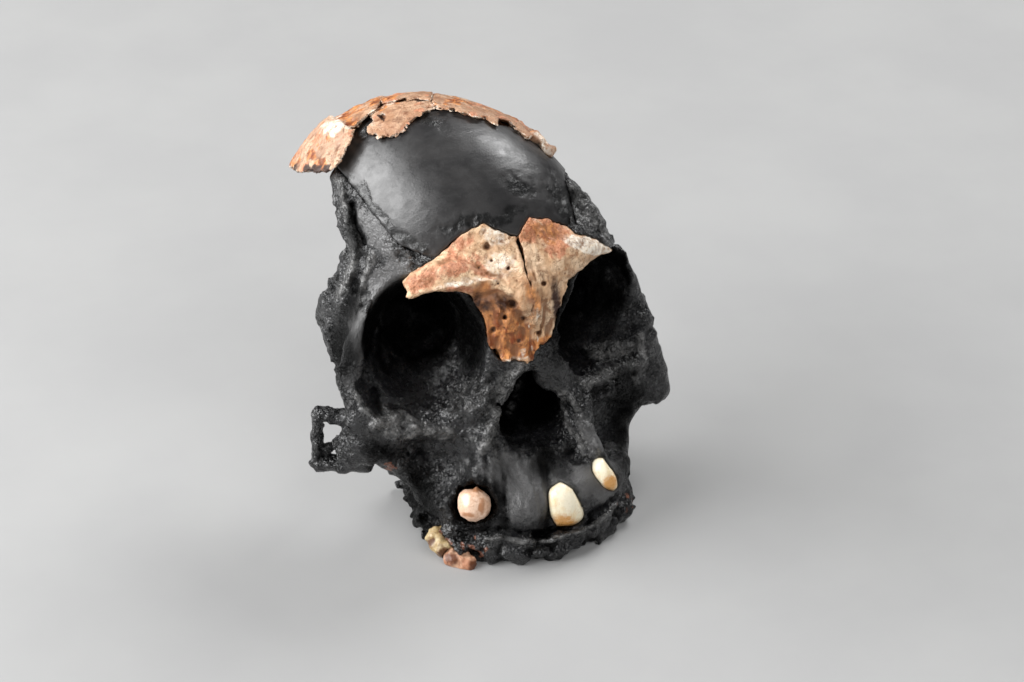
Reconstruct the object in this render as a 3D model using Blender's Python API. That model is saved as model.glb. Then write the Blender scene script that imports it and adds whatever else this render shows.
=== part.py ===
"""Partial skull of a fossil hominin child: original bone and teeth set in a black reconstruction.

Shapes are written as distance fields in millimetres in the skull's own frame and then meshed.
Skull frame: X to the skull's left, Y back, Z up, with its origin at the lower tip of the nasal bones.
The object is in metres, stands on the edge of its upper jaw, +Z up, origin under the middle of its box.
"""
import math

import bmesh
import bpy
import numpy as np
import openvdb
from mathutils import Matrix

MM = 0.001

# Height of the plane that the jaw's edge stands on, and the view in which outlines are measured
TABLE_Z = -48.4
VIEW_SWING_DEG = 23.0
VIEW_LIFT_DEG = 33.0
VIEW_DISTANCE = 694.0

# Driving sizes of the braincase, in mm
VAULT_CENTRE = (-3.0, 39.5, 6.0)
VAULT_RADII = (32.5, 44.0, 45.0)
VAULT_TURN_DEG = (0.0, -9.5, 34.0)
SHELL = 4.6
PIECE_GAP = 0.5
# Broken rear edge of the black walls: how far back it lies at each height
REAR_HEIGHTS = (-22, -5, 5, 13, 24, 31, 36, 46)
REAR_PLACES = (38, 38.5, 36, 31.5, 29, 36, 43, 49)
REAR_SLANT = 0.06
DOME_INSET = 0.3
DOME_REAR = 55.0
DOME_REAR_SLANT = -0.15
# How far round the vault the dome and the bones on it reach, as the facing at which they stop
DOME_TURN = 0.3
BONE_TURN = 0.22
CENTRE_TURN = -0.03

# Driving sizes of the face, in mm
ORBIT_CENTRE = (22.4, 8.5, 5.2)
ORBIT_RADII = (14.4, 14.0, 18.2)
ORBIT_WALL = 2.8
NOSE_HALF_WIDTH = 9.5
JAW_EDGE_Z = -44.6
JAW_BASE_Z = -21.0
# The lower face's midline leans to the skull's left from one height down to the other
JAW_LEAN = 3.2
LEAN_FROM_Z = -3.0
LEAN_TO_Z = -20.0
ORBIT_EDGE = 1.4
CAVITY_EDGE = 1.5
NOSE_EDGE = 1.0
PALATE_EDGE = 2.0
STUMP_JOIN = 1.5

# Bone and tooth sizes, in mm
BONE_DEPTH = 3.0
BONE_PROUD = 0.7
BONE_REACH = 6.5
FRONTAL_REAR = 18.0
FRONTAL_LOW = -2.5
FAR_LEFT_PROUD = 3.8
FAR_LEFT_DEPTH = 3.2
UPPER_BAND_PROUD = 2.4
CENTRE_PROUD = 1.7
CENTRE_DEPTH = 2.6
TOP_PROUD = 2.2
RIGHT_BAND_PROUD = 1.8
RIGHT_BAND_DEPTH = 2.8
KNOB_INSET = 0.35
CRACK_HEIGHTS = (0, 15, 22, 27, 32)
CRACK_HALF_WIDTHS = (0.25, 0.25, 0.4, 0.75, 0.6)
TOOTH_EDGE = 1.3
CRYPT_RADIUS = 5.9
CRYPT_DEPTH = 7.0

# Meshing
VOXEL = 1.1
FINE_VOXEL = 0.6
BAND = 2.3
COARSE_STEP = 3
FACE_BOX = ((-52, -23, -53), (52, 54, 54))
DOME_BOX = ((-36, 0, 5), (36, 65, 56))
FRONTAL_BOX = ((-33, -9, -4), (35, 21, 40))
VAULT_BOX = ((-44, 20, 10), (30, 84, 58))
TEETH_BOX = ((-30, -22, -56), (30, 10, -20))
FACE_TRIANGLES = 5400
DOME_TRIANGLES = 1000
FRONTAL_TRIANGLES = (560, 480)
VAULT_TRIANGLES = {"vault_centre": 240, "vault_far_left": 340, "vault_right": 360, "vault_top": 140,
                   "vault_upper_left": 180, "vault_right_end": 120}
TOOTH_TRIANGLES = 130

# Outlines as seen from the skull's right front: mm right of and above the nasal tip
FILL_OUTLINE = ((-56, 74), (-44.4, 47.5), (-29.3, 28.7), (-26.5, 27.8), (-19.5, 24.5), (0, 24.5),
                (13.0, 29.8), (13.8, 32.6), (10.7, 45.2), (14.5, 74))
FRONTAL_OUTLINE = ((-28.3, 19.3), (-26.6, 21.7), (-20.7, 25.1), (-15.6, 30.2), (-13.2, 31.5), (-8.8, 33.7),
                   (-6.1, 32.2), (-3.9, 31.5), (-0.7, 30.5), (1.5, 33.7), (2.4, 35.1), (6.6, 34.9),
                   (11.2, 32.9), (13.2, 31.2), (18.5, 29.8), (22.4, 27.3), (18.5, 25.6), (14.6, 22.4),
                   (11.7, 20.0), (10.5, 16.6), (8.8, 11.5), (7.6, 6.3), (3.2, 2.9), (2.2, 0.2),
                   (-0.2, 0.2), (-3.2, 0.5), (-5.4, 1.2), (-7.1, 4.1), (-8.0, 7.6), (-9.0, 11.5),
                   (-12.2, 16.8), (-15.6, 17.8), (-20.7, 18.0), (-24.1, 16.8), (-26.6, 14.9))
CRACK_LINE = ((-0.8, 36.0), (-0.4, 29.5), (0.6, 25.6), (1.4, 22.4), (2.4, 19.6), (2.9, 16.0), (3.4, 9.0),
              (3.6, -2.0))
FAR_LEFT_OUTLINE = ((-55.9, 47.6), (-57.5, 51.5), (-53.5, 55.0), (-49.5, 58.5), (-47.0, 60.5),
                    (-43.4, 57.3), (-40.6, 56.7), (-41.2, 54.9), (-42.2, 52.7), (-43.7, 49.5),
                    (-45.1, 47.8), (-46.3, 46.8), (-49.0, 46.3), (-51.3, 46.6), (-54.1, 46.6))
UPPER_BAND_OUTLINE = ((-46.8, 62.0), (-43.0, 57.6), (-40.4, 57.2), (-38.9, 58.8), (-36.6, 60.9),
                      (-34.6, 62.2), (-32.5, 66.5), (-38.0, 68.0))
CENTRE_OUTLINE = ((-36.6, 60.2), (-35.4, 58.3), (-36.8, 57.0), (-36.8, 55.8), (-35.0, 55.2), (-32.9, 54.5),
                  (-30.2, 55.2), (-28.4, 56.7), (-27.0, 58.0), (-25.3, 60.0), (-22.6, 61.3), (-20.7, 62.3),
                  (-22.0, 63.2), (-24.1, 63.7), (-29.2, 63.5), (-33.0, 62.8), (-35.2, 61.4))
TOP_OUTLINE = ((-33.7, 63.0), (-29.4, 63.9), (-24.4, 64.1), (-21.8, 63.8), (-21.2, 67.5), (-30.0, 68.0),
               (-34.5, 66.5))
RIGHT_BAND_OUTLINE = ((-20.8, 67.5), (-21.3, 63.4), (-20.3, 62.2), (-18.5, 61.7), (-14.9, 61.3),
                      (-11.7, 60.2), (-8.5, 59.2), (-6.0, 58.0), (-4.4, 57.7), (-1.7, 57.4), (0.4, 56.2),
                      (2.3, 54.7), (4.6, 56.5), (5.5, 60.0), (-4.0, 68.0))
CANINE_RIGHT_OUTLINE = ((-15.1, -31.7), (-13.7, -31.0), (-11.5, -31.0), (-10.5, -30.1), (-9.8, -31.0),
                        (-7.4, -32.8), (-7.0, -35.1), (-7.8, -37.6), (-10.7, -39.0), (-12.4, -38.8),
                        (-14.4, -37.6), (-15.2, -35.5))
INCISOR_OUTLINE = ((6.2, -30.5), (9.9, -29.1), (12.8, -31.0), (15.6, -35.9), (16.5, -38.8), (13.2, -40.0),
                   (9.0, -40.0), (7.6, -37.6))
CANINE_LEFT_OUTLINE = ((16.8, -24.4), (18.0, -23.2), (20.2, -23.5), (23.4, -28.0), (24.3, -31.0),
                       (22.7, -31.6), (20.2, -30.5), (17.3, -26.8))


# Distance fields

def row(values):
    """Numbers as one row of single precision"""
    return np.asarray(values, np.float32)


def turn_matrix(degrees):
    """Turn about X, then Y, then Z"""
    x, y, z = (math.radians(angle) for angle in degrees)
    turn = Matrix.Rotation(z, 3, "Z") @ Matrix.Rotation(y, 3, "Y") @ Matrix.Rotation(x, 3, "X")
    return np.array(turn, np.float32)


def ellipsoid(p, centre, radii, turn=None):
    q = p - row(centre)
    if turn:
        q = q @ turn_matrix(turn)
    radii = row(radii)
    scaled = np.linalg.norm(q / radii, axis=-1)
    slope = np.linalg.norm(q / (radii * radii), axis=-1)
    return scaled * (scaled - 1) / np.maximum(slope, 1e-6)


def rod(p, start, end, start_radius, end_radius):
    start, end = row(start), row(end)
    along = end - start
    share = np.clip(((p - start) @ along) / float(along @ along), 0, 1)
    gap = np.linalg.norm(p - start - share[:, None] * along, axis=-1)
    return gap - (start_radius + (end_radius - start_radius) * share)


def chain(p, points, radii):
    """Tapered rods from point to point"""
    links = [rod(p, points[i], points[i + 1], radii[i], radii[i + 1]) for i in range(len(points) - 1)]
    return np.minimum.reduce(links)


def half_space(p, normal, point):
    """Negative on the side that the normal points away from"""
    normal = row(normal) / np.linalg.norm(normal)
    return (p - row(point)) @ normal


def blend(a, b, softness):
    """Union with a soft join"""
    near = np.maximum(softness - np.abs(a - b), 0) / softness
    return np.minimum(a, b) - near * near * softness * 0.25


def carve(a, b, softness):
    """a without b, with a soft edge"""
    return -blend(-a, b, softness)


def keep(a, b, softness):
    """What a and b share, with a soft edge"""
    return -blend(-a, -b, softness)


def both_sides(p):
    """Right side folded onto the left"""
    folded = p.copy()
    folded[:, 0] = np.abs(folded[:, 0])
    return folded


def leaning(p):
    """Points moved over so that the leaning midline of the lower face stands at X = 0"""
    share = np.clip((LEAN_FROM_Z - p[:, 2]) / (LEAN_FROM_Z - LEAN_TO_Z), 0, 1)
    moved = p.copy()
    moved[:, 0] -= JAW_LEAN * share * share * (3 - 2 * share)
    return moved


# The measuring view

def view_axes():
    swing, lift = math.radians(VIEW_SWING_DEG), math.radians(VIEW_LIFT_DEG)
    toward = row((-math.sin(swing) * math.cos(lift), -math.cos(swing) * math.cos(lift), math.sin(lift)))
    right = row((math.cos(swing), -math.sin(swing), 0))
    up = row((math.sin(swing) * math.sin(lift), math.cos(swing) * math.sin(lift), math.cos(lift)))
    return right, up, toward


def seen(p):
    """Where points appear in the measuring view, in mm at the nasal tip"""
    right, up, toward = view_axes()
    zoom = VIEW_DISTANCE / (VIEW_DISTANCE - p @ toward)
    return (p @ right) * zoom, (p @ up) * zoom


def at(right_mm, up_mm, back_mm):
    """Skull point that appears at right_mm, up_mm and lies back_mm behind the nasal tip"""
    right, up, toward = (axis.astype(float) for axis in view_axes())
    eye = toward * VIEW_DISTANCE
    ray = right * right_mm + up * up_mm - eye
    return eye + ray * ((back_mm - eye[1]) / ray[1])


def inside_outline(p, corners):
    """Prism along the view, negative inside its outline"""
    u, v = seen(p)
    nearest = np.full(u.shape, 1e9, np.float32)
    inside = np.zeros(u.shape, bool)
    for (ax, ay), (bx, by) in zip(corners, corners[1:] + corners[:1]):
        ex, ey = bx - ax, by - ay
        share = np.clip(((u - ax) * ex + (v - ay) * ey) / (ex * ex + ey * ey), 0, 1)
        nearest = np.minimum(nearest, (u - ax - share * ex) ** 2 + (v - ay - share * ey) ** 2)
        if ay != by:
            inside ^= ((ay <= v) != (by <= v)) & (u < ex * (v - ay) / ey + ax)
    nearest = np.sqrt(nearest)
    return np.where(inside, -nearest, nearest)


# Braincase and face as one body before it is divided

def vault(p):
    return ellipsoid(p, VAULT_CENTRE, VAULT_RADII, VAULT_TURN_DEG)


def turned_away(p, limit):
    """Negative where the vault's surface faces the measuring view more than -limit, scaled to mm"""
    turn, radii = turn_matrix(VAULT_TURN_DEG), row(VAULT_RADII)
    normal = ((p - row(VAULT_CENTRE)) @ turn / (radii * radii)) @ turn.T
    facing = (normal @ view_axes()[2]) / np.maximum(np.linalg.norm(normal, axis=-1), 1e-6)
    return -(facing + limit) * float(radii.mean())


def rear_edge(p):
    """Broken rear edge of the black walls, which runs back at the top and the bottom"""
    back = np.interp(p[:, 2], REAR_HEIGHTS, REAR_PLACES)
    return (p[:, 1] - back + REAR_SLANT * p[:, 0]).astype(np.float32)


def braincase(p):
    q = both_sides(p)
    temple = ellipsoid(q, (26, 31, 2), (10.5, 16, 18))
    lump = chain(q, ((33.5, 33, -2), (33, 30, -12)), (4.2, 4.5))
    body = blend(blend(vault(p), temple, 7), lump, 3)
    body = keep(body, half_space(p, (0, 0.05, -1), (0, 30, JAW_BASE_Z)), 2)
    return keep(body, rear_edge(p), 1.5)


def cavity(p):
    """Hollow of the braincase, open at the back and below"""
    q = both_sides(p)
    hollow = ellipsoid(p, VAULT_CENTRE, tuple(r - SHELL for r in VAULT_RADII), VAULT_TURN_DEG)
    low = ellipsoid(q, (19, 38, -6), (12.6, 17, 20))
    rear = ellipsoid(p, (-2, 62, -4), (30, 30, 40))
    hollow = blend(blend(hollow, low, 5), rear, 4)
    behind_nose = half_space(p, (0, -1, 0.5), (0, 27, -6))
    return keep(hollow, behind_nose, 4)


def orbit(p, grow=0.0):
    q = both_sides(p)
    mouth = ellipsoid(q, ORBIT_CENTRE, tuple(r + grow for r in ORBIT_RADII), (0, 6, 0))
    cone = chain(q, ((22.4, 4, 5.0), (18.5, 20, 3.5), (14, 29, 4.5)), (13.6 + grow, 9.5 + grow, 2.6 + grow))
    return blend(mouth, cone, 3)


def orbit_rims(p):
    q = both_sides(p)
    brow = chain(q, ((2, 3.2, 17), (8, 3.6, 23), (17, 5.0, 26.4), (25.5, 8.5, 22.5), (31.7, 14, 13.5)),
                 (4.6, 3.6, 2.9, 3.0, 3.0))
    side = chain(q, ((31.7, 14, 13.5), (36.6, 16.5, 4), (38.8, 16.5, -5), (36.5, 13.0, -14)),
                 (3.0, 2.8, 3.0, 3.8))
    under = chain(q, ((36.5, 13, -14), (28, 8.5, -18), (18, 4.5, -17), (10.5, 2.5, -9), (8.0, 2.0, -2)),
                  (3.8, 3.0, 2.6, 2.4, 2.4))
    return blend(blend(brow, side, 2), under, 2)


def cheeks(p):
    q = both_sides(p)
    bone = chain(q, ((30, 11.5, -19), (36.5, 14, -22), (38.5, 14.5, -25)), (5.5, 5.2, 4.6))
    root_left = chain(p, ((35, 13, -24), (30, 10, -31), (27, 8, -37)), (5.0, 4.8, 5.0))
    root_right = chain(p, ((-33, 12.5, -24), (-24, 9, -31), (-19, 7, -37)), (4.4, 4.0, 3.8))
    root = np.minimum(root_left, root_right)
    left_corner = chain(p, ((39, 16, -6), (41.8, 16, -18), (43.0, 14.0, -27)), (3.4, 4.0, 4.6))
    return blend(blend(bone, root, 4), left_corner, 3)


def upper_jaw(p):
    p = leaning(p)
    q = both_sides(p)
    jaw = chain(q, ((6, -8.5, -36), (14, -6, -36), (20, 0, -37), (21, 10, -37), (20, 22, -36)),
                (8.0, 7.5, 6.5, 6.2, 6.0))
    body = ellipsoid(p, (0, 12, -24), (26, 18, 16))
    pillar = chain(q, ((8.8, 1.0, -7), (12.5, -1.5, -18), (15.5, -5, -28)), (2.4, 3.2, 4.4))
    edge = chain(q, ((0, -14.6, JAW_EDGE_Z), (7, -14, JAW_EDGE_Z - 0.3), (15, -10.6, JAW_EDGE_Z),
                     (22.5, -4, JAW_EDGE_Z), (24.5, 8, JAW_EDGE_Z - 0.2), (22.5, 24, JAW_EDGE_Z - 0.2)),
                 (4.2, 4.2, 4.3, 4.2, 4.2, 4.2))
    return blend(blend(blend(jaw, body, 8), pillar, 4), edge, 4)


def nose(p):
    leant = leaning(p)
    low = ellipsoid(both_sides(leant), (NOSE_HALF_WIDTH - 6.5, 0, -16), (6.8, 16, 7.8))
    high = chain(leant, ((0, -4, -4.6), (0, 6, -6.5), (0, 16, -10)), (3.2, 4.2, 5.0))
    passage = rod(leant, (0, 6, -14), (0, 12, -14), 8.0, 7.0)
    opening = blend(blend(low, high, 3.5), passage, 3)
    return np.maximum(opening, -orbit(p, 1.6))


def palate(p):
    p = leaning(p)
    front = ellipsoid(p, (0, 7, -50), (14.5, 15.5, 13.5))
    back = rod(p, (0, 12, -51), (0, 42, -50), 14, 15)
    return blend(front, back, 4)


def inward():
    """Direction into the skull along the measuring view"""
    return -view_axes()[2].astype(float)


def crypt(p):
    """Open pit in which the right canine lies"""
    mouth = at(-11.4, -34.7, -11.0)
    return rod(p, mouth - inward() * 3.0, mouth + inward() * CRYPT_DEPTH, CRYPT_RADIUS, CRYPT_RADIUS - 1.0)


def arch_stump(p):
    """Broken start of the right cheek's arch: a thin frame around a window"""
    corner_top = at(-49.4, -12.6, 21)
    corner_low = at(-50.0, -24.8, 20.5)
    root_top = at(-40.0, -13.8, 16.5)
    root_low = at(-38.0, -24.2, 15.5)
    frame = [
        rod(p, root_top, corner_top, 1.9, 1.2),
        rod(p, corner_top, corner_low, 0.95, 1.2),
        rod(p, corner_low, root_low, 1.7, 3.0),
        rod(p, at(-39.0, -16.0, 16.5), at(-47.2, -21.6, 20), 1.2, 0.9),
    ]
    return np.minimum.reduce(frame)


def cheek_tooth_socket(p):
    """Swelling of the jaw's edge that holds the two cheek teeth"""
    return chain(p, (at(-17.4, -41.5, -1.5), at(-13.5, -45.6, -8.0)), (3.4, 3.2))


def temple_spike(p):
    """Thin ragged edge of the left temple that stands above the vault's outline"""
    return rod(p, at(18.0, 33.5, 12), at(11.6, 44.6, 19.5), 3.0, 0.7)


def mid_face(p):
    core = ellipsoid(p, (0, 21, -2), (35, 22, 22))
    body = blend(core, orbit_rims(p), 5)
    bridge = chain(p, ((0, 2.5, 20), (0, 5.5, 11), (0, 3.4, 1.2)), (6.5, 6.5, 4.8))
    body = blend(body, bridge, 4)
    body = blend(body, cheeks(p), 4)
    body = blend(body, upper_jaw(p), 5)
    fossa = ellipsoid(both_sides(p), (24.5, -2.0, -24.5), (7.5, 6.5, 7.5))
    body = carve(body, fossa, 5)
    return keep(body, half_space(p, (0, 1, -0.15), (0, 28, -34)), 2)


def closed_form(p):
    """Outside of the skull without any opening"""
    return blend(braincase(p), mid_face(p), 5)


def reconstruction(p):
    body = carve(closed_form(p), orbit(p), ORBIT_EDGE)
    hollow = cavity(p)
    hollow = np.maximum(hollow, -orbit(p, ORBIT_WALL))
    body = carve(body, hollow, CAVITY_EDGE)
    body = carve(body, nose(p), NOSE_EDGE)
    body = carve(body, palate(p), PALATE_EDGE)
    q = both_sides(p)
    behind_rim = ellipsoid(q, (42.5, 26, 2), (6.0, 6.5, 14), (0, 8, 0))
    under_temple = ellipsoid(q, (38, 30, -27), (9.5, 9, 12))
    body = carve(carve(body, behind_rim, 3), under_temple, 3)
    body = blend(body, arch_stump(p), STUMP_JOIN)
    body = blend(body, temple_spike(p), STUMP_JOIN)
    body = blend(body, cheek_tooth_socket(p), STUMP_JOIN)
    return carve(body, crypt(p), NOSE_EDGE)


# Pieces

def fill_body(p):
    shell = np.maximum(vault(p) - DOME_INSET, -(vault(p) + SHELL))
    rear = half_space(p, (DOME_REAR_SLANT, 1, 0), (0, DOME_REAR, 0))
    return np.maximum.reduce([shell, inside_outline(p, FILL_OUTLINE), rear, turned_away(p, DOME_TURN)])


def frontal_body(p):
    closed = closed_form(p)
    form = carve(closed, orbit(p), ORBIT_EDGE)
    slab = np.maximum(form - BONE_PROUD, -(form + BONE_DEPTH))
    front = np.maximum(half_space(p, (0, 1, 0), (0, FRONTAL_REAR, 0)), -(closed + BONE_REACH))
    low = half_space(p, (0, 0, -1), (0, 0, FRONTAL_LOW))
    return np.maximum.reduce([slab, inside_outline(p, FRONTAL_OUTLINE), front, low])


def crack(p):
    """Side of the frontal crack: negative on the skull's right"""
    u, v = seen(p)
    heights = [point[1] for point in reversed(CRACK_LINE)]
    places = [point[0] for point in reversed(CRACK_LINE)]
    return (u - np.interp(v, heights, places)).astype(np.float32)


def crack_gap(p):
    """Half the width of the crack, widest near its top"""
    v = seen(p)[1]
    return np.interp(v, CRACK_HEIGHTS, CRACK_HALF_WIDTHS).astype(np.float32)


def frontal_right(p):
    return np.maximum(frontal_body(p), crack(p) + crack_gap(p))


def frontal_left(p):
    return np.maximum(frontal_body(p), crack_gap(p) - crack(p))


def vault_bone(p, outline, proud, depth):
    slab = np.maximum(vault(p) - proud, proud - depth - vault(p))
    return np.maximum.reduce([slab, inside_outline(p, outline), turned_away(p, BONE_TURN)])


def far_left(p):
    return vault_bone(p, FAR_LEFT_OUTLINE, FAR_LEFT_PROUD, FAR_LEFT_DEPTH)


def upper_band(p):
    return vault_bone(p, UPPER_BAND_OUTLINE, UPPER_BAND_PROUD, BONE_DEPTH)


def centre_piece(p):
    slab = vault_bone(p, CENTRE_OUTLINE, CENTRE_PROUD, CENTRE_DEPTH)
    return np.maximum(slab, turned_away(p, CENTRE_TURN))


def top_piece(p):
    return vault_bone(p, TOP_OUTLINE, TOP_PROUD, BONE_DEPTH)


def right_band(p):
    return vault_bone(p, RIGHT_BAND_OUTLINE, RIGHT_BAND_PROUD, RIGHT_BAND_DEPTH)


def right_knob(p):
    """Knobbly last bits of the right band"""
    bits = chain(p, (at(3.4, 55.4, 30), at(5.4, 53.6, 28), at(7.0, 51.4, 27)), (1.3, 1.0, 1.7))
    return np.maximum(bits, KNOB_INSET - vault(p))


def tooth(p, outline, centre, radii, root_radius, root_length, turn=None):
    """Crown with the outline seen, bulging outwards, and a root that runs into the jaw"""
    bulge = ellipsoid(p, centre, radii, turn)
    crown = keep(inside_outline(p, outline), bulge, TOOTH_EDGE)
    start = centre + inward() * 0.5
    root = rod(p, start, start + inward() * root_length, root_radius, root_radius * 0.7)
    return blend(crown, root, 1.0)


def canine_right(p):
    return tooth(p, CANINE_RIGHT_OUTLINE, at(-11.3, -34.9, -8.4), (5.2, 4.6, 5.4), 3.0, 11.0)


def incisor(p):
    return tooth(p, INCISOR_OUTLINE, at(11.2, -34.7, -13.4), (6.4, 4.0, 7.4), 3.0, 6.0, (0, 0, 12))


def canine_left(p):
    return tooth(p, CANINE_LEFT_OUTLINE, at(20.6, -27.4, -10.0), (4.6, 4.0, 6.4), 1.9, 6.0, (0, 0, 40))


def cheek_tooth_front(p):
    middle = at(-14.6, -48.2, -9.5)
    crown = chain(p, (at(-16.6, -47.6, -8.5), at(-12.4, -49.0, -11.5)), (2.3, 2.0))
    return blend(crown, rod(p, middle, middle + row((3.6, 4.0, 2.6)), 1.9, 1.5), 1.5)


def cheek_tooth_rear(p):
    middle = at(-20.2, -43.4, -3.5)
    crown = chain(p, (at(-20.9, -42.3, -2.2), at(-18.8, -45.4, -5.8)), (2.0, 2.5))
    return blend(crown, rod(p, middle, middle + row((4.5, 2.5, 2.0)), 1.9, 1.5), 1.5)


# Where pieces meet

BONES = {
    "frontal_right": frontal_right,
    "frontal_left": frontal_left,
    "vault_far_left": far_left,
    "vault_upper_left": upper_band,
    "vault_centre": centre_piece,
    "vault_top": top_piece,
    "vault_right": right_band,
    "vault_right_end": right_knob,
}
TEETH = {
    "canine_right": canine_right,
    "incisor_left": incisor,
    "canine_left": canine_left,
    "cheek_tooth_front": cheek_tooth_front,
    "cheek_tooth_rear": cheek_tooth_rear,
}
# Each vault bone gives way to those before it
VAULT_ORDER = ("vault_centre", "vault_far_left", "vault_right", "vault_top", "vault_upper_left",
               "vault_right_end")


def without(field, others):
    """The field with room left around its neighbours"""
    def cut(p):
        body = field(p)
        for other in others:
            body = np.maximum(body, PIECE_GAP - other(p))
        return body
    return cut


def parts():
    """Name, field, box in mm, voxel, triangles, material for every piece"""
    vault_bones = [BONES[name] for name in VAULT_ORDER]
    face = without(reconstruction, [fill_body, frontal_body, *vault_bones, *TEETH.values()])
    dome = without(fill_body, [frontal_body, *vault_bones])
    right_triangles, left_triangles = FRONTAL_TRIANGLES
    listed = [
        ("face_reconstruction", face, FACE_BOX, VOXEL, FACE_TRIANGLES, "black_cast"),
        ("vault_fill", dome, DOME_BOX, VOXEL, DOME_TRIANGLES, "black_smooth"),
        ("frontal_right", frontal_right, FRONTAL_BOX, FINE_VOXEL, right_triangles, "bone_ivory"),
        ("frontal_left", frontal_left, FRONTAL_BOX, FINE_VOXEL, left_triangles, "bone_brown"),
    ]
    for index, name in enumerate(VAULT_ORDER):
        field = without(BONES[name], vault_bones[:index])
        colour = "bone_pink" if name in ("vault_far_left", "vault_right_end") else "bone_orange"
        listed.append((name, field, VAULT_BOX, FINE_VOXEL, VAULT_TRIANGLES[name], colour))
    for name, field in TEETH.items():
        if name == "cheek_tooth_rear":
            field = without(field, [cheek_tooth_front])
        listed.append((name, field, TEETH_BOX, FINE_VOXEL, TOOTH_TRIANGLES, "enamel"))
    return listed


# Meshing

def lattice(low, steps, spacing):
    axes = [low[i] + np.arange(steps[i]) * spacing for i in range(3)]
    return np.stack(np.meshgrid(*axes, indexing="ij"), -1).astype(np.float32)


def refined(values, axis):
    """Coarse samples filled in linearly along one axis"""
    values = np.moveaxis(values, axis, 0)
    fine = np.empty(((values.shape[0] - 1) * COARSE_STEP + 1,) + values.shape[1:], np.float32)
    for step in range(COARSE_STEP):
        share = step / COARSE_STEP
        fine[step:-1:COARSE_STEP] = values[:-1] * (1 - share) + values[1:] * share
    fine[-1] = values[-1]
    return np.moveaxis(fine, 0, axis)


def surface(field, box, voxel):
    """Points in mm and faces of the surface where the field is zero"""
    low, high = (np.array(corner, float) for corner in box)
    wide = voxel * COARSE_STEP
    steps = np.ceil((high - low) / wide).astype(int) + 2
    points = lattice(low, steps, wide)
    values = np.stack([field(layer.reshape(-1, 3)).reshape(layer.shape[:2]) for layer in points])
    for axis in range(3):
        values = refined(values, axis)
    near = np.abs(values) < BAND * wide
    places = np.argwhere(near)
    values[near] = field((low + places * voxel).astype(np.float32))
    limit = 3 * wide
    grid = openvdb.FloatGrid(limit)
    grid.copyFromArray(np.ascontiguousarray(np.clip(values, -limit, limit)))
    corners, triangles, quads = grid.convertToPolygons(isovalue=0.0, adaptivity=0.0)
    faces = [tuple(int(i) for i in face[::-1]) for face in (*triangles, *quads)]
    return np.asarray(corners, float) * voxel + low, faces


def largest_body(mesh):
    """Loose crumbs of the field taken off, so that one closed body stays"""
    work = bmesh.new()
    work.from_mesh(mesh)
    left, bodies = set(work.verts), []
    while left:
        body, edge = set(), [left.pop()]
        while edge:
            vertex = edge.pop()
            body.add(vertex)
            for link in vertex.link_edges:
                other = link.other_vert(vertex)
                if other in left:
                    left.discard(other)
                    edge.append(other)
        bodies.append(body)
    keep_body = max(bodies, key=len)
    bmesh.ops.delete(work, geom=[v for v in work.verts if v not in keep_body], context="VERTS")
    bmesh.ops.recalc_face_normals(work, faces=work.faces)
    work.to_mesh(mesh)
    work.free()


def make_material(name, colour, roughness, metallic=0.0):
    material = bpy.data.materials.new(name)
    material.use_nodes = True
    shader = material.node_tree.nodes["Principled BSDF"]
    shader.inputs["Base Color"].default_value = (*colour, 1.0)
    shader.inputs["Roughness"].default_value = roughness
    shader.inputs["Metallic"].default_value = metallic
    material.diffuse_color = (*colour, 1.0)
    return material


def materials():
    return {
        "black_cast": make_material("black_cast", (0.03, 0.03, 0.032), 0.45),
        "black_smooth": make_material("black_smooth", (0.05, 0.05, 0.052), 0.35),
        "bone_ivory": make_material("bone_ivory", (0.68, 0.48, 0.29), 0.6),
        "bone_brown": make_material("bone_brown", (0.52, 0.30, 0.17), 0.6),
        "bone_pink": make_material("bone_pink", (0.70, 0.47, 0.35), 0.6),
        "bone_orange": make_material("bone_orange", (0.66, 0.40, 0.22), 0.6),
        "enamel": make_material("enamel", (0.76, 0.62, 0.38), 0.3),
    }


def make_piece(name, field, box, voxel, triangles, material):
    points, faces = surface(field, box, voxel)
    mesh = bpy.data.meshes.new(name)
    mesh.from_pydata([tuple(point * MM) for point in points], [], faces)
    largest_body(mesh)
    mesh.shade_smooth()
    mesh.materials.append(material)
    piece = bpy.data.objects.new(name, mesh)
    bpy.context.scene.collection.objects.link(piece)
    fewer = piece.modifiers.new("fewer_faces", "DECIMATE")
    fewer.ratio = min(1.0, triangles / (2 * len(mesh.polygons)))
    return piece


def make_table_cutter():
    """Block below the plane on which the skull stands"""
    size, depth = 0.2, 0.02
    bpy.ops.mesh.primitive_cube_add(size=1.0, location=(0, 0, TABLE_Z * MM - depth / 2))
    cutter = bpy.context.object
    cutter.name = "table_cutter"
    cutter.scale = (size, size, depth)
    bpy.ops.object.transform_apply(location=False, rotation=False, scale=True)
    cutter.hide_render = True
    cutter.display_type = "WIRE"
    return cutter


def cut_flat(piece, cutter):
    """Flat underside where the piece meets the table"""
    cut = piece.modifiers.new("flat_underside", "BOOLEAN")
    cut.operation = "DIFFERENCE"
    cut.solver = "EXACT"
    cut.object = cutter


def place(pieces, cutter):
    """Middle of the object's box over the origin, its lowest plane at zero"""
    bpy.context.view_layer.update()
    depsgraph = bpy.context.evaluated_depsgraph_get()
    corners = []
    for piece in pieces:
        mesh = piece.evaluated_get(depsgraph).to_mesh()
        corners += [vertex.co.copy() for vertex in mesh.vertices]
    middle = [(min(c[i] for c in corners) + max(c[i] for c in corners)) / 2 for i in range(2)]
    root = bpy.data.objects.new("skull", None)
    bpy.context.scene.collection.objects.link(root)
    for piece in (*pieces, cutter):
        piece.parent = root
    root.location = (-middle[0], -middle[1], -TABLE_Z * MM)


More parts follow.
